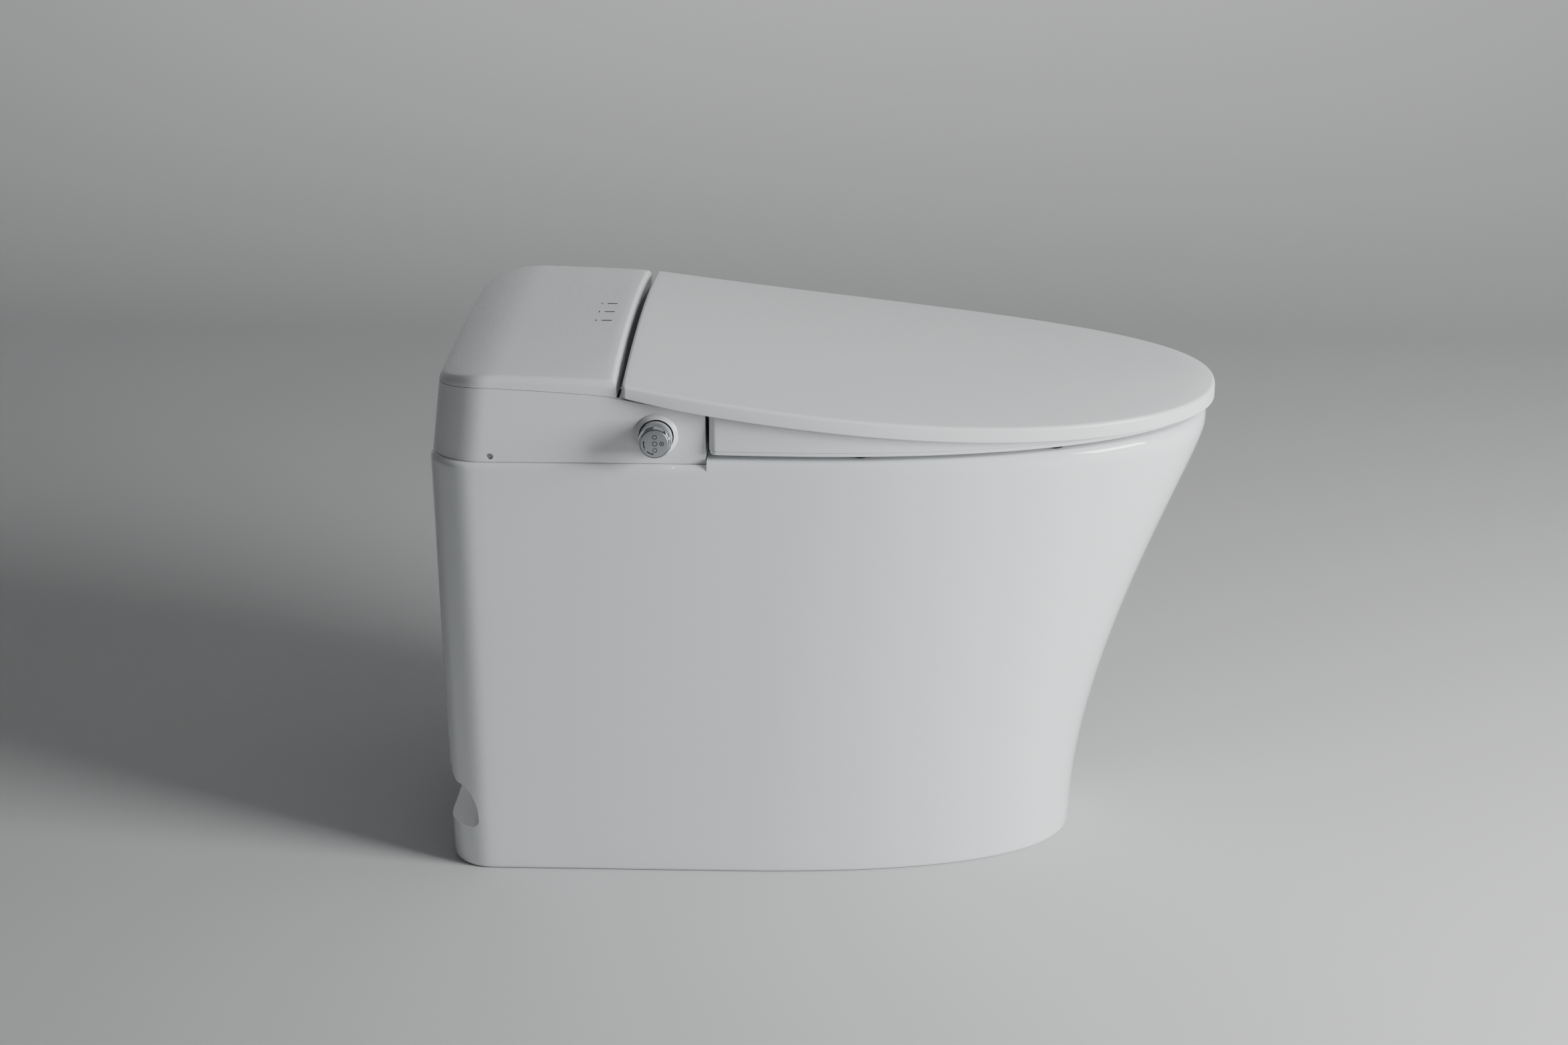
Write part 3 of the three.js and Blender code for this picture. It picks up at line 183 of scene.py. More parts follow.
def lid_band(y):
    back = max(0.0, (y - UNIT_FRONT_Y) / (LID_REAR_Y - UNIT_FRONT_Y))
    return mix(LID_BAND, LID_REAR_BAND, back ** 2)


def along_cover(y):
    return max(0.0, (y - COVER_Y) / (REAR_Y - COVER_Y))


def cover_drop(y):
    return DROP * max(0.0, (along_cover(y) - DROP_FROM) / DROP_LENGTH) ** 2


def cover_edge_z(y):
    return DECK_Z + COVER_RISE + COVER_REAR * math.sqrt(along_cover(y)) - cover_drop(y)


def seam_z(y):
    band = mix(SEAM_FRONT, SEAM_REAR, along_cover(y))
    return cover_edge_z(y) - band + SEAM_FOLLOWS * cover_drop(y)


def cover_top_z(x, y):
    return mix(DECK_Z + TOP_RISE - cover_drop(y), cover_edge_z(y), min(1.0, (x / COVER_HALF) ** 2))


def shoulder_z(y):
    along = (y - UNIT_FRONT_Y) / (COVER_Y - UNIT_FRONT_Y)
    return DECK_Z + mix(SHOULDER_FRONT, SHOULDER_REAR, along)


def unit_half(z):
    return mix(UNIT_FOOT_HALF, COVER_HALF, (z - DECK_Z) / COVER_RISE)


def unit_rear(z):
    return REAR_Y - REAR_INSET - REAR_LEAN * (z - DECK_Z) / COVER_RISE


# ------------------------------------------------------------------ meshes
def mesh_object(name, points, faces, sharp=38):
    mesh = bpy.data.meshes.new(name)
    mesh.from_pydata([(x * MM, y * MM, z * MM) for x, y, z in points], [], faces)
    mesh.validate()
    piece = bpy.data.objects.new(name, mesh)
    bpy.context.scene.collection.objects.link(piece)
    smooth(piece, sharp)
    return piece


def smooth(piece, sharp=38):
    mesh = piece.data
    mesh.polygons.foreach_set("use_smooth", [True] * len(mesh.polygons))
    mesh.set_sharp_from_angle(angle=math.radians(sharp))
    mesh.update()


def ring_skin(name, rings, closed=False, sharp=38):
    """A closed skin through rings of equal point count. Open stacks end in fans, closed stacks join up."""
    count = len(rings[0])
    points = [p for ring in rings for p in ring]
    faces = []
    strips = len(rings) if closed else len(rings) - 1
    for r in range(strips):
        low, high = r * count, (r + 1) % len(rings) * count
        for i in range(count):
            j = (i + 1) % count
            faces.append((low + i, low + j, high + j, high + i))
    if not closed:
        for ring, base, up in ((rings[0], 0, False), (rings[-1], (len(rings) - 1) * count, True)):
            points.append(tuple(sum(p[k] for p in ring) / count for k in range(3)))
            middle = len(points) - 1
            for i in range(count):
                j = (i + 1) % count
                faces.append((middle, base + i, base + j) if up else (middle, base + j, base + i))
    return mesh_object(name, points, faces, sharp)


def turned(name, profile, at, turn="x", sides=96, sharp=30):
    """A turned piece from (radius, height) points that start and end on the axis or close on themselves."""
    points, faces = [], []
    rows = len(profile)
    for i in range(sides):
        a = i / sides * 2 * math.pi
        for radius, height in profile:
            radius = max(radius, 0.0)
            if turn == "x":
                points.append((at[0] - height, at[1] + radius * math.cos(a), at[2] + radius * math.sin(a)))
            else:
                points.append((at[0] + radius * math.cos(a), at[1] + radius * math.sin(a), at[2] + height))
    for i in range(sides):
        here, there = i * rows, (i + 1) % sides * rows
        for k in range(rows - 1):
            faces.append((here + k, here + k + 1, there + k + 1, there + k))
    piece = mesh_object(name, points, faces, sharp)
    tidy_mesh(piece, sharp)
    return piece


def tidy_mesh(piece, sharp=38):
    """Merges coincident points, drops faces with no area and turns every face outwards."""
    work = bmesh.new()
    work.from_mesh(piece.data)
    bmesh.ops.remove_doubles(work, verts=work.verts, dist=1e-6)
    bmesh.ops.dissolve_degenerate(work, edges=work.edges, dist=1e-7)
    bmesh.ops.recalc_face_normals(work, faces=work.faces)
    work.to_mesh(piece.data)
    work.free()
    smooth(piece, sharp)


def side_sweep(name, profile, x0, x1):
    """A side profile of (y, z) points swept across from x0 to x1."""
    count = len(profile)
    points = [(x0, y, z) for y, z in profile] + [(x1, y, z) for y, z in profile]
    faces = [tuple(range(count)), tuple(range(2 * count - 1, count - 1, -1))]
    for i in range(count):
        j = (i + 1) % count
        faces.append((i, i + count, j + count, j))
    piece = mesh_object(name, points, faces)
    tidy_mesh(piece)
    return piece


def block(name, x0, x1, y0, y1, z0, z1):
    return side_sweep(name, [(y0, z0), (y1, z0), (y1, z1), (y0, z1)], x0, x1)


def combine(body, tool, how, sharp=38):
    """Joins, cuts or intersects body with tool, and removes tool."""
    change = body.modifiers.new("combine", 'BOOLEAN')
    change.operation = how
    change.solver = 'MANIFOLD'
    change.object = tool
    bpy.context.view_layer.update()
    graph = bpy.context.evaluated_depsgraph_get()
    made = bpy.data.meshes.new_from_object(body.evaluated_get(graph))
    body.modifiers.clear()
    body.data = made
    bpy.data.objects.remove(tool)
    smooth(body, sharp)
    return body


def cut(body, tool, sharp=38):
    return combine(body, tool, 'DIFFERENCE', sharp)


# ------------------------------------------------------------------ materials
def noise(tree, place, scale, detail=3.0):
    texture = tree.nodes.new('ShaderNodeTexNoise')
    texture.inputs['Scale'].default_value = scale
    texture.inputs['Detail'].default_value = detail
    tree.links.new(place.outputs['Object'], texture.inputs['Vector'])
    return texture


def spread(tree, source, low, high):
    """A value between low and high that follows the source texture."""
    span = tree.nodes.new('ShaderNodeMapRange')
    span.inputs['From Min'].default_value = 0.3
    span.inputs['From Max'].default_value = 0.7
    span.inputs['To Min'].default_value = low
    span.inputs['To Max'].default_value = high
    tree.links.new(source.outputs['Fac'], span.inputs['Value'])
    return span


def finish_of(name, color, rough, metal=0.0, coat=0.0, tint=0.02, grain=900.0, relief=0.02, cloud=7.0):
    """A surface with a faint cloud in its colour, a varying gloss and a fine grain."""
    material = bpy.data.materials.new(name)
    material.use_nodes = True
    tree = material.node_tree
    shader = tree.nodes['Principled BSDF']
    place = tree.nodes.new('ShaderNodeTexCoord')
    broad = noise(tree, place, cloud)
    fine = noise(tree, place, grain, 2.0)
    blend = tree.nodes.new('ShaderNodeMix')
    blend.data_type = 'RGBA'
    blend.inputs['A'].default_value = (*[c * (1 - tint) for c in color], 1)
    blend.inputs['B'].default_value = (*[min(1.0, c * (1 + tint)) for c in color], 1)
    tree.links.new(spread(tree, broad, 0.0, 1.0).outputs['Result'], blend.inputs['Factor'])
    tree.links.new(blend.outputs['Result'], shader.inputs['Base Color'])
    gloss = spread(tree, fine, rough * 0.9, rough * 1.1)
    tree.links.new(gloss.outputs['Result'], shader.inputs['Roughness'])
    bump = tree.nodes.new('ShaderNodeBump')
    bump.inputs['Strength'].default_value = relief
    bump.inputs['Distance'].default_value = 0.0002
    tree.links.new(fine.outputs['Fac'], bump.inputs['Height'])
    tree.links.new(bump.outputs['Normal'], shader.inputs['Normal'])
    shader.inputs['Metallic'].default_value = metal
    shader.inputs['Coat Weight'].default_value = coat
    shader.inputs['Coat Roughness'].default_value = 0.04
    return material


def brushed(name, color, rough):
    """Metal with fine circular turning marks round the X axis."""
    material = finish_of(name, color, rough, 1.0, 0.0, 0.03, 500.0, 0.05, 60.0)
    tree = material.node_tree
    place = tree.nodes.new('ShaderNodeTexCoord')
    rings = tree.nodes.new('ShaderNodeTexWave')
    rings.wave_type = 'RINGS'
    rings.rings_direction = 'X'
    rings.inputs['Scale'].default_value = 900.0
    rings.inputs['Distortion'].default_value = 1.5
    centre = tree.nodes.new('ShaderNodeMapping')
    centre.inputs['Location'].default_value = (0, -KNOB_Y * MM, -KNOB_Z * MM)
    tree.links.new(place.outputs['Object'], centre.inputs['Vector'])
    tree.links.new(centre.outputs['Vector'], rings.inputs['Vector'])
    gloss = spread(tree, rings, rough * 0.75, rough * 1.25)
    tree.links.new(gloss.outputs['Result'], tree.nodes['Principled BSDF'].inputs['Roughness'])
    return material


MATERIALS = {
    "glaze": finish_of("glazed ceramic", (0.76, 0.785, 0.80), 0.09, coat=0.6, tint=0.008,
                       relief=0.015, grain=60.0),
    "casing": finish_of("gloss white plastic", (0.74, 0.755, 0.77), 0.26, tint=0.008),
    "seat_plastic": finish_of("satin white plastic", (0.75, 0.765, 0.78), 0.3, tint=0.008),
    "grey_plastic": finish_of("grey plastic", (0.27, 0.29, 0.3), 0.5, tint=0.05, relief=0.12),
    "dark_plastic": finish_of("dark plastic", (0.026, 0.029, 0.032), 0.45, tint=0.1, relief=0.1),
    "rubber": finish_of("black rubber", (0.013, 0.014, 0.015), 0.75, tint=0.15, relief=0.25),
    "chrome": finish_of("chrome", (0.5, 0.515, 0.53), 0.09, 1.0, tint=0.02, relief=0.01),
    "satin_metal": brushed("satin metal", (0.56, 0.58, 0.6), 0.34),
    "steel": finish_of("zinc plated steel", (0.45, 0.47, 0.49), 0.36, 1.0, tint=0.1, cloud=120.0),
    "brass": finish_of("brass", (0.52, 0.37, 0.14), 0.33, 1.0, tint=0.1, cloud=80.0),
    "circuit": finish_of("green circuit board", (0.02, 0.13, 0.06), 0.42, tint=0.3, cloud=240.0, relief=0.1),
    "carbon": finish_of("carbon granules", (0.009, 0.009, 0.01), 0.85, tint=0.5, cloud=900.0, relief=0.9),
}
PRINT = finish_of("dark print", (0.012, 0.013, 0.015), 0.7, tint=0.05)


def show(piece, slot_name, body, *nodes, material=None):
    """Gives a finished piece its material and its body, in place of the CAD nodes."""
    piece.data.materials.clear()
    piece.data.materials.append(material or MATERIALS[slot_name])
    if nodes:
        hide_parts(*nodes)
    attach(piece, body)
    return piece


# ------------------------------------------------------------------ ceramic pan
FOOT_HALF, FOOT_POWER, FOOT_CORNER = 144.0, 2.5, 40.0
FOOT_WIDEST_Y, FOOT_NOSE_Y = REAR_Y - 244, TIP_Y + 121
TOP_CORNER, NOSE_INSET, SIDE_INSET, REAR_PROUD = 45.0, 7.0, 12.0, 2.5
FOOT_EDGE, TOP_EDGE = 4.0, 6.0
RISE_NEAR, RISE_FAR = 0.443, 0.93  # heights of the flare curve's two inner handles
WALL, DECK = 13.0, 38.0
RIM_REAR_Y = UNIT_FRONT_Y - 0.8
LOW_RIM_HALF, LOW_RIM_FRONT_Y = 112.0, REAR_Y - 284
NOTCH_LOW, NOTCH_HIGH, NOTCH_DEPTH, NOTCH_WALL = 42.0, 88.0, 30.0, 9.0
BOWL_HALF, BOWL_REAR_Y, BOWL_FRONT_Y, BOWL_MIDDLE_Y = 124.0, REAR_Y - 250, TIP_Y + 53, REAR_Y - 410
BOWL_POWER, BOWL_WALL, BOWL_BOTTOM = 2.2, 11.0, 172.0
SUMP_Y, SUMP_HALF = REAR_Y - 405, 38.0
TRAP_RADIUS, TRAP_WALL, WEIR_Z = 24.0, 9.0, 228.0
OUTLET_Y, OUTLET_Z = REAR_Y - 292, 6.0
SERVICE_HALF, SERVICE_FRONT_Y, SERVICE_REAR_Y = 130.0, REAR_Y - 105, REAR_Y - 30
BOLT_X, BOLT_Y, BOLT_HOLE = 128.0, REAR_Y - 200, 5.0


def flare_rise(share):
    return 3 * (1 - share) ** 2 * share * RISE_NEAR + 3 * (1 - share) * share ** 2 * RISE_FAR + share ** 3


def flare_reach(share):
    return 3 * (1 - share) * share ** 2 + share ** 3


def pan_outline(share, inset=0.0):
    reach, rise = flare_reach(share), flare_rise(share)
    return plan_outline(
        REAR_Y, mix(FOOT_HALF, UNIT_FOOT_HALF + REAR_PROUD, rise),
        mix(FOOT_HALF, LID_HALF - SIDE_INSET, rise),
        mix(FOOT_WIDEST_Y, WIDEST_Y, rise), mix(FOOT_NOSE_Y, TIP_Y + NOSE_INSET, reach),
        mix(FOOT_POWER, LID_POWER, rise), mix(FOOT_CORNER, TOP_CORNER, rise), inset)


def pan_skin(top, steps=32):
    rings = [level(pan_outline(0, FOOT_EDGE * (1 - math.sin(a))), FOOT_EDGE * (1 - math.cos(a)))
             for a in quarter(4)]
    for i in range(1, steps + 1):
        height = flare_rise(i / steps) * (DECK_Z - TOP_EDGE)
        rings.append(level(pan_outline(i / steps), max(FOOT_EDGE + 0.5, height)))
    if top > DECK_Z:
        rings.append(level(pan_outline(1), top - TOP_EDGE))
    for a in quarter(6, 1):
        rings.append(level(pan_outline(1, TOP_EDGE * (1 - math.cos(a))), top - TOP_EDGE * (1 - math.sin(a))))
    return ring_skin("pan", rings)


def pan_form():
    """The skirt with its deck, and the rim that stands up in front of the seat unit."""
    ahead = block("trim", -TRIM, TRIM, TIP_Y, RIM_REAR_Y, DECK_Z - 12, RIM_Z + 1)
    rim = combine(pan_skin(RIM_Z), ahead, 'INTERSECT')
    rim = cut(rim, block("low_rim", -LOW_RIM_HALF, LOW_RIM_HALF, LOW_RIM_FRONT_Y, RIM_REAR_Y + 1, DECK_Z,
                         RIM_Z + 1))
    return combine(pan_skin(DECK_Z), rim, 'UNION')


def pan_hollow(steps=11):
    rings = [level(pan_outline(0, WALL), -1)]
    for i in range(1, steps):
        rings.append(level(pan_outline(i / steps, WALL), min(flare_rise(i / steps) * DECK_Z, DECK_Z - DECK)))
    return ring_skin("pan_hollow", rings)


def bent(start, handle, end, steps, first=0):
    """Points of a curve from start to end that leans towards its handle."""
    points = []
    for i in range(first, steps + 1):
        t = i / steps
        points.append(tuple(start * (1 - t) ** 2 + handle * 2 * t * (1 - t) + end * t ** 2))
    return points


def notch(grow):
    """The pipe channel across the rear of the foot: a flat ledge, a round heel and a sloping roof."""
    heel, ledge, roof = REAR_Y - NOTCH_DEPTH - grow, NOTCH_LOW - grow, NOTCH_HIGH + grow
    upright, turn = Vector((heel + 1, roof - 26)), Vector((heel + 20, roof - 3))
    last = Vector((REAR_Y, roof + 20))
    profile = [(REAR_Y + 5, ledge), (heel + 8, ledge)]
    for a in quarter(8, 1):
        profile.append((heel + 8 * (1 - math.sin(a)), ledge + 9 * (1 - math.cos(a))))
    profile += bent(upright, turn - Vector((14, 0)), turn, 16)
    profile += bent(turn, Vector((REAR_Y - 2, roof + 5)), last, 12, 1)
    profile.append((REAR_Y + 5, last.y))
    return side_sweep("notch", profile, -LID_HALF, LID_HALF)


def bowl_ring(depth, grow, points=112):
    share = 1 - depth ** 1.7
    half = mix(SUMP_HALF, BOWL_HALF, share) + grow
    middle = mix(SUMP_Y, BOWL_MIDDLE_Y, share)
    rear = mix(SUMP_Y + SUMP_HALF, BOWL_REAR_Y, share) + grow - middle
    front = middle - mix(SUMP_Y - SUMP_HALF, BOWL_FRONT_Y, share) + grow
    bulge = 2 / BOWL_POWER
    ring = []
    for i in range(points):
        a = i / points * 2 * math.pi
        x, y = math.cos(a), math.sin(a)
        long = rear if y > 0 else front
        out = half * math.copysign(abs(x) ** bulge, x)
        ring.append((out, middle + long * math.copysign(abs(y) ** bulge, y)))
    return ring


def bowl_skin(grow, top, steps=24):
    rings = []
    for i in range(steps + 1):
        depth = 1 - i / steps
        rings.append(level(bowl_ring(depth, grow), mix(DECK_Z - 2, BOWL_BOTTOM - grow, depth)))
    rings.append(level(bowl_ring(0, grow), top))
    return ring_skin("bowl", rings)


def trap_pipe(radius, drop):
    """A round pipe down the S-shaped waterway, from the sump over the weir to the floor."""
    stops = [
        (SUMP_Y, BOWL_BOTTOM + 26), (SUMP_Y + 45, BOWL_BOTTOM + 20), (OUTLET_Y - 5, WEIR_Z - 8),
        (OUTLET_Y + 34, WEIR_Z), (OUTLET_Y + 62, WEIR_Z - 34), (OUTLET_Y + 52, WEIR_Z - 90),
        (OUTLET_Y + 12, WEIR_Z - 150), (OUTLET_Y, OUTLET_Z + 30), (OUTLET_Y, OUTLET_Z - drop),
    ]
    line = [Vector((0, y, z)) for y, z in stops]
    ends = [line[0] * 2 - line[1]] + line + [line[-1] * 2 - line[-2]]
    path = []
    for k in range(1, len(ends) - 2):
        a, b, c, d = ends[k - 1:k + 3]
        for i in range(8):
            t = i / 8
            square, cube = 2 * a - 5 * b + 4 * c - d, 3 * b - a - 3 * c + d
            path.append(0.5 * (2 * b + (c - a) * t + square * t ** 2 + cube * t ** 3))
    path.append(line[-1])
    rings = []
    for k, at in enumerate(path):
        along = (path[min(k + 1, len(path) - 1)] - path[max(k - 1, 0)]).normalized()
        up = Vector((1, 0, 0)).cross(along)
        ring = []
        for i in range(48):
            a = i / 48 * 2 * math.pi
            ring.append(tuple(at + Vector((1, 0, 0)) * radius * math.cos(a) + up * radius * math.sin(a)))
        rings.append(ring)
    pipe = ring_skin("trap", rings)
    tidy_mesh(pipe)
    return pipe


def ceramic_pan():
    body = cut(pan_form(), notch(0))
    cores = combine(bowl_skin(BOWL_WALL, DECK_Z - 6), trap_pipe(TRAP_RADIUS + TRAP_WALL, 0), 'UNION')
    cores = combine(cores, pan_form(), 'INTERSECT')
    hollow = cut(pan_hollow(), notch(NOTCH_WALL))
    body = cut(body, hollow)
    body = combine(body, cores, 'UNION')
    body = cut(body, bowl_skin(0, RIM_Z + 5))
    body = cut(body, trap_pipe(TRAP_RADIUS, 10))
    body = cut(body, block("service", -SERVICE_HALF, SERVICE_HALF, SERVICE_FRONT_Y, SERVICE_REAR_Y,
                           DECK_Z - DECK - 5, DECK_Z + 5))
    for side in (-1, 1):
        hole = [(0, -DECK - 5), (BOLT_HOLE, -DECK - 5), (BOLT_HOLE, 5), (0, 5)]
        body = cut(body, turned("bolt_hole", hole, (side * BOLT_X, BOLT_Y, DECK_Z), "z", 40))
    smooth(body, SHARP)
    return show(body, "glaze", "root", "ceramic_pan")


# ------------------------------------------------------------------ seat unit casing
def unit_outline(z, front, inset):
    """Straight front and sides, large rear corners. Anticlockwise from the middle of the rear edge."""
    half = unit_half(z) - inset
    rear = unit_rear(z) - inset
    bend = UNIT_CORNER - inset
    nose = front + inset
    side = [(-(half - bend) * i / 16, rear) for i in range(16)]
    side += [(-(half - bend) - bend * math.sin(a), rear - bend + bend * math.cos(a)) for a in quarter(24)]
    side += [(-half, mix(rear - bend, nose, i / 24)) for i in range(1, 25)]
    side += [(-half * (1 - i / 16), nose) for i in range(1, 17)]
    return side + [(-x, y) for x, y in reversed(side[1:-1])]


def unit_form(name, front, inset, drop):
    top = DECK_Z + COVER_RISE
    rings = [level(unit_outline(DECK_Z, front, inset), DECK_Z - WALL_SUNK)]
    for a in quarter(8):
        pull, sink = UNIT_EDGE * (1 - math.cos(a)), UNIT_EDGE * (1 - math.sin(a))
        share = math.sin(a)

        def height(x, y, sink=sink, share=share):
            return mix(cover_edge_z(y), cover_top_z(x, y), share) - sink - drop

        rings.append(level(unit_outline(top, front, inset + pull), height))
    rim = unit_outline(top, front, inset + UNIT_EDGE)
    middle = (front + REAR_Y) / 2
    for share in (0.9, 0.75, 0.6, 0.45, 0.3, 0.15):
        rings.append(level(shrink(rim, share, middle), lambda x, y: cover_top_z(x, y) - drop))
    return ring_skin(name, rings)


def seam_line(lift):
    return [(y, seam_z(y) + lift) for y in (mix(COVER_Y, REAR_Y, t / 24 * 1.05) for t in range(25))]


def lid_sweep(clearance):
    """The space that the rear edge of the lid sweeps, a spindle round the hinge axis."""
    profile = [(0, -LID_HALF)]
    for i in range(-12, 13):
        x = i / 12 * (LID_REAR_HALF - 3)
        profile.append((math.hypot(LID_REAR_Y - HINGE_Y, lid_top_z(x, LID_REAR_Y) - HINGE_Z) + clearance, x))
    profile.append((0, LID_HALF))
    return turned("lid_sweep", profile, (0, HINGE_Y, HINGE_Z), "x", 160)


BAY_HALF, BAY_FRONT, BAY_SLOPE, BAY_REAR_Y = 150.0, 31.0, 0.235, COVER_Y + 11


def bay_floor_z(y):
    return DECK_Z + BAY_FRONT + BAY_SLOPE * (y - UNIT_FRONT_Y)


def bay_block(grow):
    rear, front = BAY_REAR_Y + grow, UNIT_FRONT_Y - 5
    profile = [(front, bay_floor_z(front) - grow), (rear, bay_floor_z(rear) - grow), (rear, DECK_Z + 150),
               (front, DECK_Z + 150)]
    return side_sweep("bay", profile, -BAY_HALF - grow, BAY_HALF + grow)


def x_rod(name, near, far, at, radius, sides=48):
    middle, half = (near + far) / 2, abs(far - near) / 2
    return turned(name, [(0, -half), (radius, -half), (radius, half), (0, half)], (middle, *at), "x", sides)


SCREW_AT, SCREW_HOLE = (REAR_Y - 58.3, DECK_Z + 5.6), 2.9
KNOB_HOLE = 17.3
SEAM_GAP = 0.5
PORT_X, PORT_Z = (47, 97), (DECK_Z + 7, DECK_Z + 23)
INTAKE_X, INTAKE_Z, INTAKE_PITCH, INTAKE_SLOT = (-96, -52), DECK_Z + 10, 5, 2.5
NOZZLE_Z, NOZZLE_HOLE = DECK_Z + 16.5, 10.5
RACK_X, RACK_Z = (0, 13), (DECK_Z + 12, DECK_Z + 21)


def housing_shell():
    w, front, low, high = CASE_WALL, UNIT_FRONT_Y, DECK_Z + 0.5, DECK_Z + 120
    profile = [(front - 1, low), (front - 1, shoulder_z(front - 1)), (COVER_Y, shoulder_z(COVER_Y)),
               *seam_line(0)[1:], (REAR_Y + 10, low)]
    below = side_sweep("trim", profile, -TRIM, TRIM)
    outer = combine(unit_form("housing_shell", front, 0, 0), below, 'INTERSECT')
    profile = [(front + w, DECK_Z - 2), (front + w, shoulder_z(front) - w),
               (COVER_Y - 2, shoulder_z(COVER_Y) - w), (COVER_Y, high), (REAR_Y + 10, high),
               (REAR_Y + 10, DECK_Z - 2)]
    room = side_sweep("trim", profile, -TRIM, TRIM)
    space = combine(unit_form("space", front, w, -20), room, 'INTERSECT')
    body = cut(cut(outer, cut(space, bay_block(w))), bay_block(0))
    for side in (-1, 1):
        near, far = (side * x for x in POST_X)
        floor = bay_floor_z(HINGE_Y - 7) - w / 2
        post = block("post", min(near, far), max(near, far), HINGE_Y - 7, HINGE_Y + 1, floor, HINGE_Z)
        body = combine(body, post, 'UNION')
        body = combine(body, x_rod("eye", near, far, HINGE_AT, POST_EYE), 'UNION')
        body = cut(body, x_rod("pin_hole", near - side, far + side, HINGE_AT, PIN_HOLE))
        wall = side * UNIT_FOOT_HALF
        body = cut(body, x_rod("screw_hole", wall - 8, wall + 8, SCREW_AT, SCREW_HOLE))
    hole = x_rod("knob_hole", -COVER_HALF - 5, -UNIT_FOOT_HALF + 12, (KNOB_Y, KNOB_Z), KNOB_HOLE, 96)
    body = cut(body, hole)
    through = (front - 1, front + w + 1)
    body = cut(body, block("dryer_port", *PORT_X, *through, *PORT_Z))
    for i in range(3):
        z = INTAKE_Z + i * INTAKE_PITCH
        body = cut(body, block("intake", *INTAKE_X, *through, z, z + INTAKE_SLOT))
    hole = turned("nozzle_hole", [(0, -6), (NOZZLE_HOLE, -6), (NOZZLE_HOLE, 6), (0, 6)], (0, 0, 0), "z", 64)
    at = Matrix.Translation(Vector((0, front, NOZZLE_Z)) * MM)
    hole.data.transform(at @ Matrix.Rotation(math.pi / 2, 4, 'X'))
    body = cut(body, hole)
    body = cut(body, block("rack_slot", *RACK_X, *through, *RACK_Z))
    smooth(body, SHARP)
    return show(body, "casing", "root", "housing_shell")


INDICATOR_Y = REAR_Y - 147.4
INDICATOR_PITCH = 27.6
SLOT_HALF_X, SLOT_HALF_Y = 0.8, 4.7


def top_cover():
    profile = [*seam_line(SEAM_GAP), (REAR_Y + 20, DECK_Z + 120), (COVER_Y, DECK_Z + 120)]
    above = side_sweep("trim", profile, -TRIM, TRIM)
    outer = combine(unit_form("top_cover", COVER_Y, 0, 0), above, 'INTERSECT')
    inner = cut(unit_form("space", COVER_Y, CASE_WALL, CASE_WALL - 0.4), lid_sweep(2.6))
    body = cut(cut(outer, inner), lid_sweep(0.7))
    for i in (-1, 0, 1):
        x = i * INDICATOR_PITCH
        body = cut(body, block("slot", x - SLOT_HALF_X, x + SLOT_HALF_X, INDICATOR_Y - SLOT_HALF_Y,
                               INDICATOR_Y + SLOT_HALF_Y, DECK_Z + 70, DECK_Z + 100))
    smooth(body, SHARP)
    return show(body, "casing", "root", "top_cover")


# ------------------------------------------------------------------ lid
LID_SHAPE = (LID_REAR_Y, LID_REAR_HALF, LID_HALF, WIDEST_Y, TIP_Y, LID_POWER, 4)
LID_WALL, LID_EDGE = 3.0, 3.0
HINGE_REACH = POST_X[1] + 2


def lid_outer():
    def plan(inset):
        return plan_outline(*LID_SHAPE, inset)

    def below(depth):
        return lambda x, y: lid_top_z(x, y) - depth

    inside = plan(LID_WALL)
    rings = [level(shrink(inside, s, WIDEST_Y), below(LID_SKIN)) for s in (0.2, 0.4, 0.6, 0.8, 0.92)]
    rings.append(level(inside, below(LID_SKIN)))
    rings.append(level(inside, lambda x, y: lid_edge_z(y) - lid_band(y)))
    for a in quarter(4):
        lift = 1 - math.sin(math.pi / 2 - a)
        rings.append(level(plan(1 - math.sin(a)), lambda x, y, lift=lift: lid_edge_z(y) - lid_band(y) + lift))
    for a in quarter(8):
        rings.append(level(plan(LID_EDGE * (1 - math.cos(a))), below(LID_EDGE * (1 - math.sin(a)))))
    for share in (0.96, 0.9, 0.8, 0.7, 0.6, 0.5, 0.4, 0.3, 0.2, 0.1):
        rings.append(level(shrink(plan(LID_EDGE), share, WIDEST_Y), below(0)))
    body = ring_skin("lid", rings)
    inner = LID_REAR_HALF - LID_WALL - 0.3
    body = cut(body, block("gap", -inner, inner, HINGE_Y - 3, LID_REAR_Y + 5, DECK_Z + 40, HINGE_Z - 3))
    body = cut(body, x_rod("gap", -HINGE_REACH, HINGE_REACH, HINGE_AT, EYE + 0.4))
    behind = block("gap", -HINGE_REACH, HINGE_REACH, HINGE_Y, LID_REAR_Y + 5, DECK_Z + 40, HINGE_Z + 2)
    body = cut(body, behind)
    for side in (-1, 1):
        body = cut(body, x_rod("gap", side * DAMPER_X[0], side * DAMPER_X[1], HINGE_AT, DAMPER_ROOM))
    smooth(body, SHARP)
    return show(body, "seat_plastic", "lid", "lid_outer")


# ------------------------------------------------------------------ seat
SEAT_SHAPE = (SEAT_REAR_Y, lid_half(SEAT_REAR_Y) - SEAT_INSET, LID_HALF - SEAT_INSET, WIDEST_Y,
              TIP_Y + SEAT_INSET, LID_POWER, 7)
HOLE_Y, HOLE_HALF, HOLE_POWER = REAR_Y - 433, 112, 2.15
HOLE_FRONT_Y, HOLE_REAR_Y = TIP_Y + 82, REAR_Y - 315
RECESS_HALF, RECESS_DEPTH, RECESS_RISE = 106, 46, 18


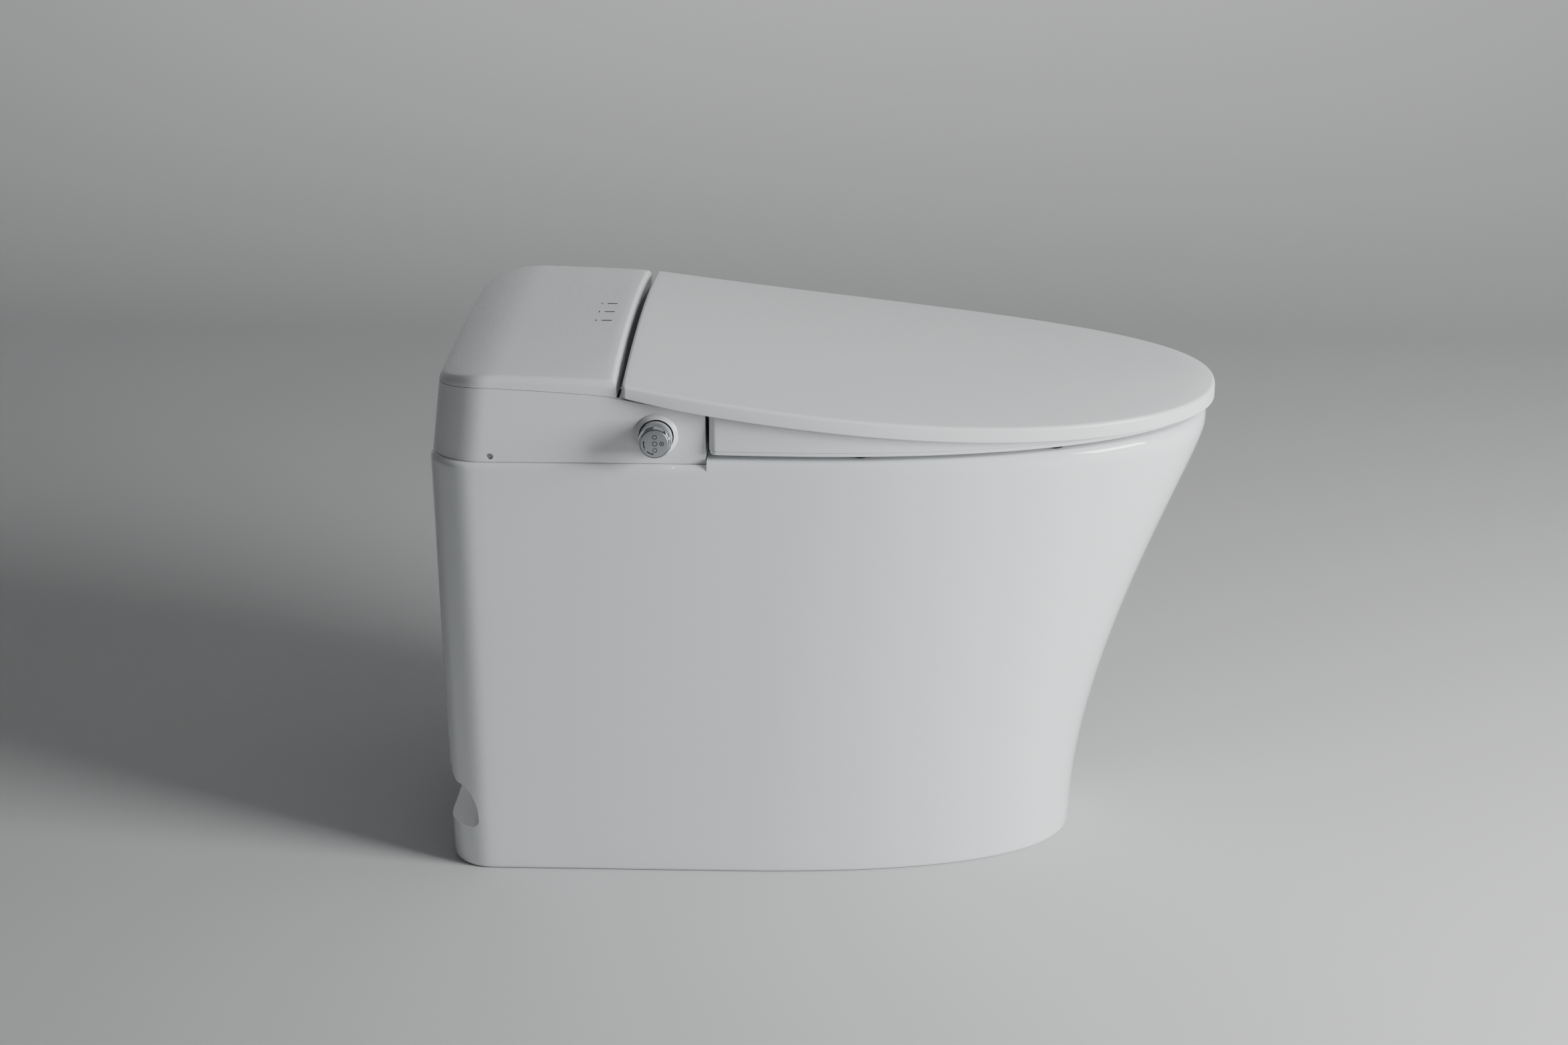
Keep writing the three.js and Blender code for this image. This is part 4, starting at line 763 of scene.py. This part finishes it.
def hole_outline(grow):
    """The oval opening, with a point on the ray to each point of the rim."""
    ring = []
    for x, y in plan_outline(*SEAT_SHAPE):
        a = math.atan2(y - HOLE_Y, x)
        end = HOLE_REAR_Y if y > HOLE_Y else HOLE_FRONT_Y
        long, wide = abs(end - HOLE_Y) + grow, HOLE_HALF + grow
        across, along = abs(math.cos(a) / wide) ** HOLE_POWER, abs(math.sin(a) / long) ** HOLE_POWER
        radius = (across + along) ** (-1 / HOLE_POWER)
        ring.append((radius * math.cos(a), HOLE_Y + radius * math.sin(a)))
    return ring


def seat_top_z(x, y):
    return lid_top_z(x, y) - LID_GAP


def seat_recess(grow):
    return block("recess", -RECESS_HALF - grow, RECESS_HALF + grow, SEAT_REAR_Y - RECESS_DEPTH - grow,
                 SEAT_REAR_Y + 5, SEAT_BOTTOM - 5, SEAT_BOTTOM + RECESS_RISE + grow)


def dip(depth):
    return lambda x, y: seat_top_z(x, y) - depth


# How far the seat dips below its crown, by share of the way from its rim to its opening.
SEAT_DIPS = ((0.15, 0.2), (0.3, 0.5), (0.5, 1), (0.65, 1.6), (0.78, 2.6), (0.88, 4.2), (0.95, 6.5), (1, 10))


def seat_top():
    w = SEAT_WALL
    rim, hole, hole_out = plan_outline(*SEAT_SHAPE), hole_outline(0), hole_outline(w)
    rim_in = plan_outline(*SEAT_SHAPE, w)
    rings = [level(rim, SEAT_SEAM)]
    for a in quarter(6):
        rings.append(level(plan_outline(*SEAT_SHAPE, w * (1 - math.cos(a))), dip(w * (1 - math.sin(a)))))
    for t, depth in SEAT_DIPS:
        rings.append(level(between(rim_in, hole, t), dip(depth)))
    rings += [level(hole, SEAT_SEAM), level(hole_out, SEAT_SEAM), level(hole_out, dip(12)),
              level(between(rim_in, hole_out, 0.5), dip(1 + w)), level(rim_in, dip(3 + w)),
              level(rim_in, SEAT_SEAM)]
    body = ring_skin("seat", rings, closed=True)
    body = cut(body, seat_recess(2.3))
    for side in (-1, 1):
        near, far = sorted(side * x for x in SEAT_ARM_X)
        root = SEAT_REAR_Y - w
        arm = [(root, seat_top_z(far, root) - 22), (root, seat_top_z(far, root) - 9),
               (HINGE_Y - 2, HINGE_Z + 2.5), (HINGE_Y + 2, HINGE_Z - EYE + 0.3)]
        body = combine(body, side_sweep("arm", arm, near, far), 'UNION')
        body = combine(body, x_rod("eye", near, far, HINGE_AT, EYE), 'UNION')
        body = cut(body, x_rod("pin_hole", near - 1, far + 1, HINGE_AT, PIN_HOLE))
    smooth(body, SHARP)
    return show(body, "seat_plastic", "seat", "seat_top")


def seat_bottom():
    inset, edge = 0.6, 1.0
    high = SEAT_SEAM - 0.4
    rings = [level(plan_outline(*SEAT_SHAPE, inset + edge - math.sin(a)), SEAT_BOTTOM + edge - math.cos(a))
             for a in quarter(4)]
    rings.append(level(plan_outline(*SEAT_SHAPE, inset), high))
    rings.append(level(hole_outline(inset), high))
    rings += [level(hole_outline(inset + edge - math.cos(a)), SEAT_BOTTOM + edge - math.sin(a))
              for a in quarter(4)]
    body = ring_skin("seat_underside", rings, closed=True)
    step = cut(seat_recess(2), block("trim", -TRIM, TRIM, -400, 400, DECK_Z - 20, SEAT_BOTTOM))
    body = combine(body, step, 'UNION')
    rear = block("trim", -TRIM, TRIM, SEAT_REAR_Y - inset, SEAT_REAR_Y + 20, DECK_Z, DECK_Z + 100)
    body = cut(body, rear)
    body = cut(body, seat_recess(0))
    smooth(body, SHARP)
    return show(body, "seat_plastic", "seat", "seat_bottom")


def seat_bumpers():
    for name in ("front_left", "front_right", "rear_left", "rear_right"):
        low, high = node_box("seat_bumper_" + name)
        height, radius = high.z - low.z, (high.x - low.x) / 2
        middle = ((low.x + high.x) / 2, (low.y + high.y) / 2, low.z)
        profile = [(0, 0), (radius - 1.2, 0), (radius - 0.4, 0.3), (radius, 1.1), (radius - 1, height),
                   (0, height)]
        foot = turned("seat_foot_" + name, profile, middle, "z", 64)
        show(foot, "rubber", "seat", "seat_bumper_" + name)


# ------------------------------------------------------------------ control knob
KNOB_WALL = unit_half(KNOB_Z)
KNOB_PROUD = -KNOB_TIP - KNOB_WALL
KNOB_AT = (-KNOB_WALL, KNOB_Y, KNOB_Z)
RING, FACE, BUTTON, COLLAR = 14.4, 13.4, 12.2, 18.8  # radii
COLLAR_TIP, COLLAR_PROUD = 16.0, 5.5


def arc(centre, radius, start, end, steps=6):
    """Points of a quarter-round, from one angle to another in degrees."""
    points = []
    for i in range(steps + 1):
        a = math.radians(mix(start, end, i / steps))
        points.append((centre[0] + radius * math.cos(a), centre[1] + radius * math.sin(a)))
    return points


def knob():
    rim = KNOB_PROUD - 0.6
    collar = [(RING + 1, -10), (COLLAR - 1.8, -10), (COLLAR - 1.8, 2), (COLLAR - 0.1, 2.1), (COLLAR, 2.3),
              (COLLAR, 2.8), *arc((COLLAR_TIP - 0.8, COLLAR_PROUD - 0.8), 0.8, 20, 90),
              (RING + 1.2, COLLAR_PROUD - 0.1), (RING + 1, COLLAR_PROUD - 0.4), (RING + 1, -10)]
    show(turned("knob_collar", collar, KNOB_AT, "x", 128), "casing", "root", "knob_collar")
    ring = [(0, -12), (4, -12), (4, -6), (RING, -6), *arc((RING - 0.5, rim - 3.4), 0.5, 0, 40, 4),
            *arc((FACE - 0.5, rim - 0.5), 0.5, 40, 90, 4), (BUTTON + 0.4, rim), (BUTTON + 0.4, rim - 5),
            (0, rim - 5)]
    show(turned("knob_ring", ring, KNOB_AT, "x", 128), "chrome", "knob", "knob_ring")
    button = [(0, rim - 2.4), (BUTTON, rim - 2.4), (BUTTON, rim),
              *arc((BUTTON - 0.6, KNOB_PROUD - 0.6), 0.6, 0, 90), (0, KNOB_PROUD)]
    show(turned("knob_face", button, KNOB_AT, "x", 128), "satin_metal", "button", "knob_button")


def mark(name, outline, body="button"):
    """A printed mark a hair thick on the knob face, from points to the viewer's right and up."""
    points = [(KNOB_TIP - 0.04, KNOB_Y - right, KNOB_Z + up) for right, up in outline]
    points += [(KNOB_TIP + 0.04, KNOB_Y - right, KNOB_Z + up) for right, up in outline]
    count = len(outline)
    faces = [tuple(range(count)), tuple(range(2 * count - 1, count - 1, -1))]
    faces += [(i, i + count, (i + 1) % count + count, (i + 1) % count) for i in range(count)]
    piece = mesh_object(name, points, faces)
    tidy_mesh(piece)
    return show(piece, "grey_plastic", body, material=PRINT)


def band(centre, radius, width, start, end, steps=16):
    """An arc-shaped stroke with an arrow head at its end."""
    outer = arc(centre, radius + width / 2, start, end, steps)
    inner = arc(centre, radius - width / 2, end, start, steps)
    tip = math.radians(end + (10 if end > start else -10))
    last = math.radians(end)
    wing = 1.1 * width
    head = [(centre[0] + (radius + wing) * math.cos(last), centre[1] + (radius + wing) * math.sin(last)),
            (centre[0] + radius * math.cos(tip), centre[1] + radius * math.sin(tip)),
            (centre[0] + (radius - wing) * math.cos(last), centre[1] + (radius - wing) * math.sin(last))]
    return outer + head + inner


def loop_mark(name, centre, radius, width):
    """A thin printed circle, in two halves."""
    for half, (start, end) in enumerate(((0, 178), (180, 358))):
        outer = arc(centre, radius, start, end, 14)
        mark(f"{name}_{half}", outer + arc(centre, radius - width, end, start, 14))


def knob_marks():
    mark("arrow_up", band((0, 0), 9.3, 1.0, 205, 172))
    mark("arrow_down", band((0, 0), 9.3, 1.0, 225, 258))
    mark("arrow_dot", arc((-8.4, -5.1), 0.5, 0, 345, 12))
    loop_mark("upper_mark", (0.4, 6.0), 2.0, 0.6)
    loop_mark("middle_mark", (0.4, 0.2), 2.2, 0.6)
    loop_mark("lower_mark", (0.4, -5.8), 2.0, 0.6)
    loop_mark("side_mark", (6.4, 0.2), 2.0, 0.6)
    mark("side_dot", arc((6.4, 0.2), 0.7, 0, 345, 12))


# ------------------------------------------------------------------ indicators
def cover_patch(name, x, y, half_x, half_y, proud):
    """A thin plate with round corners that lies on the cover."""
    bend = min(half_x, half_y) * 0.8
    outline = []
    for sx, sy, start in ((1, 1, 0), (-1, 1, 90), (-1, -1, 180), (1, -1, 270)):
        outline += arc((x + sx * (half_x - bend), y + sy * (half_y - bend)), bend, start, start + 90, 4)
    top = [(px, py, cover_top_z(px, py) + proud) for px, py in outline]
    low = [(px, py, cover_top_z(px, py) - 0.2) for px, py in outline]
    return ring_skin(name, [low, top])


def indicators():
    """Smoked light pipes under dark windows, and a plain printed tick behind each."""
    for i in (-1, 0, 1):
        name = f"indicator_light_{i + 2}"
        low, high = node_box(name)
        pipe = block(f"light_pipe_{i + 2}", low.x, high.x, low.y, high.y, low.z, high.z)
        show(pipe, "dark_plastic", "root", name)
        x = i * INDICATOR_PITCH
        window = cover_patch(f"window_{i + 2}", x, INDICATOR_Y, 0.95, 4.7, 0.3)
        show(window, "dark_plastic", "root")
        tick = cover_patch(f"tick_{i + 2}", x, INDICATOR_Y + 9.5, 2.0, 0.4, 0.3)
        show(tick, "grey_plastic", "root", material=PRINT)


# ------------------------------------------------------------------ pieces carried over from the CAD
def dress_nodes():
    """Gives every CAD node that is still shown its procedural material and softened edges."""
    slots = {part["node"]: part["material_slot"] for part in frame["record"]["subparts"]}
    for name, node in frame["nodes"].items():
        if node.hide_render:
            continue
        slot_name = slots[name]
        node.data.materials.clear()
        node.data.materials.append(MATERIALS[slot_name])
        edge = node.modifiers.new("soft_edges", 'BEVEL')
        edge.width = 0.0003
        edge.segments = 2
        edge.limit_method = 'ANGLE'
        edge.angle_limit = math.radians(50)


# ------------------------------------------------------------------ studio
def backdrop():
    """A pale floor that curves up into a wall, far behind the part."""
    material = finish_of("studio grey", (0.6, 0.605, 0.61), 0.8, tint=0.01, relief=0.0, cloud=0.4)
    far, side, radius = 5.2, 30.0, 3.6
    line = [(-30.0, 0.0), (far - radius, 0.0)]
    for i in range(1, 25):
        a = i / 24 * math.pi / 2
        line.append((far - radius + radius * math.sin(a), radius * (1 - math.cos(a))))
    line.append((far, 9.0))
    points = [(x, -side, z) for x, z in line] + [(x, side, z) for x, z in line]
    count = len(line)
    mesh = bpy.data.meshes.new("floor")
    mesh.from_pydata(points, [], [(i, i + 1, i + 1 + count, i + count) for i in range(count - 1)])
    floor = bpy.data.objects.new("floor", mesh)
    bpy.context.scene.collection.objects.link(floor)
    mesh.polygons.foreach_set("use_smooth", [True] * len(mesh.polygons))
    floor.data.materials.append(material)


def soft_light(name, at, aim, size, power, color=(1, 1, 1)):
    data = bpy.data.lights.new(name, 'AREA')
    data.shape = 'RECTANGLE'
    data.size, data.size_y = size
    data.energy = power
    data.color = color
    lamp = bpy.data.objects.new(name, data)
    bpy.context.scene.collection.objects.link(lamp)
    lamp.location = at
    lamp.rotation_mode = 'QUATERNION'
    lamp.rotation_quaternion = (Vector(aim) - Vector(at)).to_track_quat('-Z', 'Y')


def studio():
    backdrop()
    soft_light("key_softbox", (-0.95, -1.95, 1.0), (0, -0.25, 0.3), (0.9, 1.2), 90)
    soft_light("overhead_softbox", (-0.2, -0.5, 2.9), (0, 0, 0.2), (2.4, 2.4), 7)
    soft_light("wall_wash", (1.9, -0.1, 2.9), (5.0, -0.1, 2.6), (2.4, 1.2), 90)
    world = bpy.data.worlds.new("studio")
    bpy.context.scene.world = world
    world.use_nodes = True
    tree = world.node_tree
    sky = tree.nodes.new('ShaderNodeTexGradient')
    place = tree.nodes.new('ShaderNodeTexCoord')
    ramp = tree.nodes.new('ShaderNodeValToRGB')
    turn = tree.nodes.new('ShaderNodeMapping')
    turn.inputs['Rotation'].default_value = (0, math.pi / 2, 0)
    ramp.color_ramp.elements[0].color = (0.30, 0.305, 0.31, 1)
    ramp.color_ramp.elements[1].color = (0.55, 0.555, 0.56, 1)
    tree.links.new(place.outputs['Generated'], turn.inputs['Vector'])
    tree.links.new(turn.outputs['Vector'], sky.inputs['Vector'])
    tree.links.new(sky.outputs['Fac'], ramp.inputs['Fac'])
    tree.links.new(ramp.outputs['Color'], tree.nodes['Background'].inputs['Color'])
    tree.nodes['Background'].inputs['Strength'].default_value = 0.24


def camera():
    """Looks at the knob side from a little above, with a slight turn and roll."""
    down, turn, roll = math.radians(20.117), math.radians(-2.529), math.radians(0.2585)
    ahead = Vector((math.cos(down) * math.cos(turn), -math.cos(down) * math.sin(turn), -math.sin(down)))
    right = Vector((-math.sin(turn), -math.cos(turn), 0))
    under = ahead.cross(right)
    across = math.cos(roll) * right + math.sin(roll) * under
    below = -math.sin(roll) * right + math.cos(roll) * under
    data = bpy.data.cameras.new("camera")
    data.lens = 67.82
    data.sensor_width = 36
    lens = bpy.data.objects.new("camera", data)
    bpy.context.scene.collection.objects.link(lens)
    basis = Matrix((across, -below, -ahead)).transposed().to_4x4()
    basis.translation = Vector((-2.5937, -0.0706, 1.2431))
    lens.matrix_world = basis
    bpy.context.scene.camera = lens


ceramic_pan()
housing_shell()
top_cover()
lid_outer()
seat_top()
seat_bottom()
seat_bumpers()
knob()
knob_marks()
indicators()
dress_nodes()
studio()
camera()
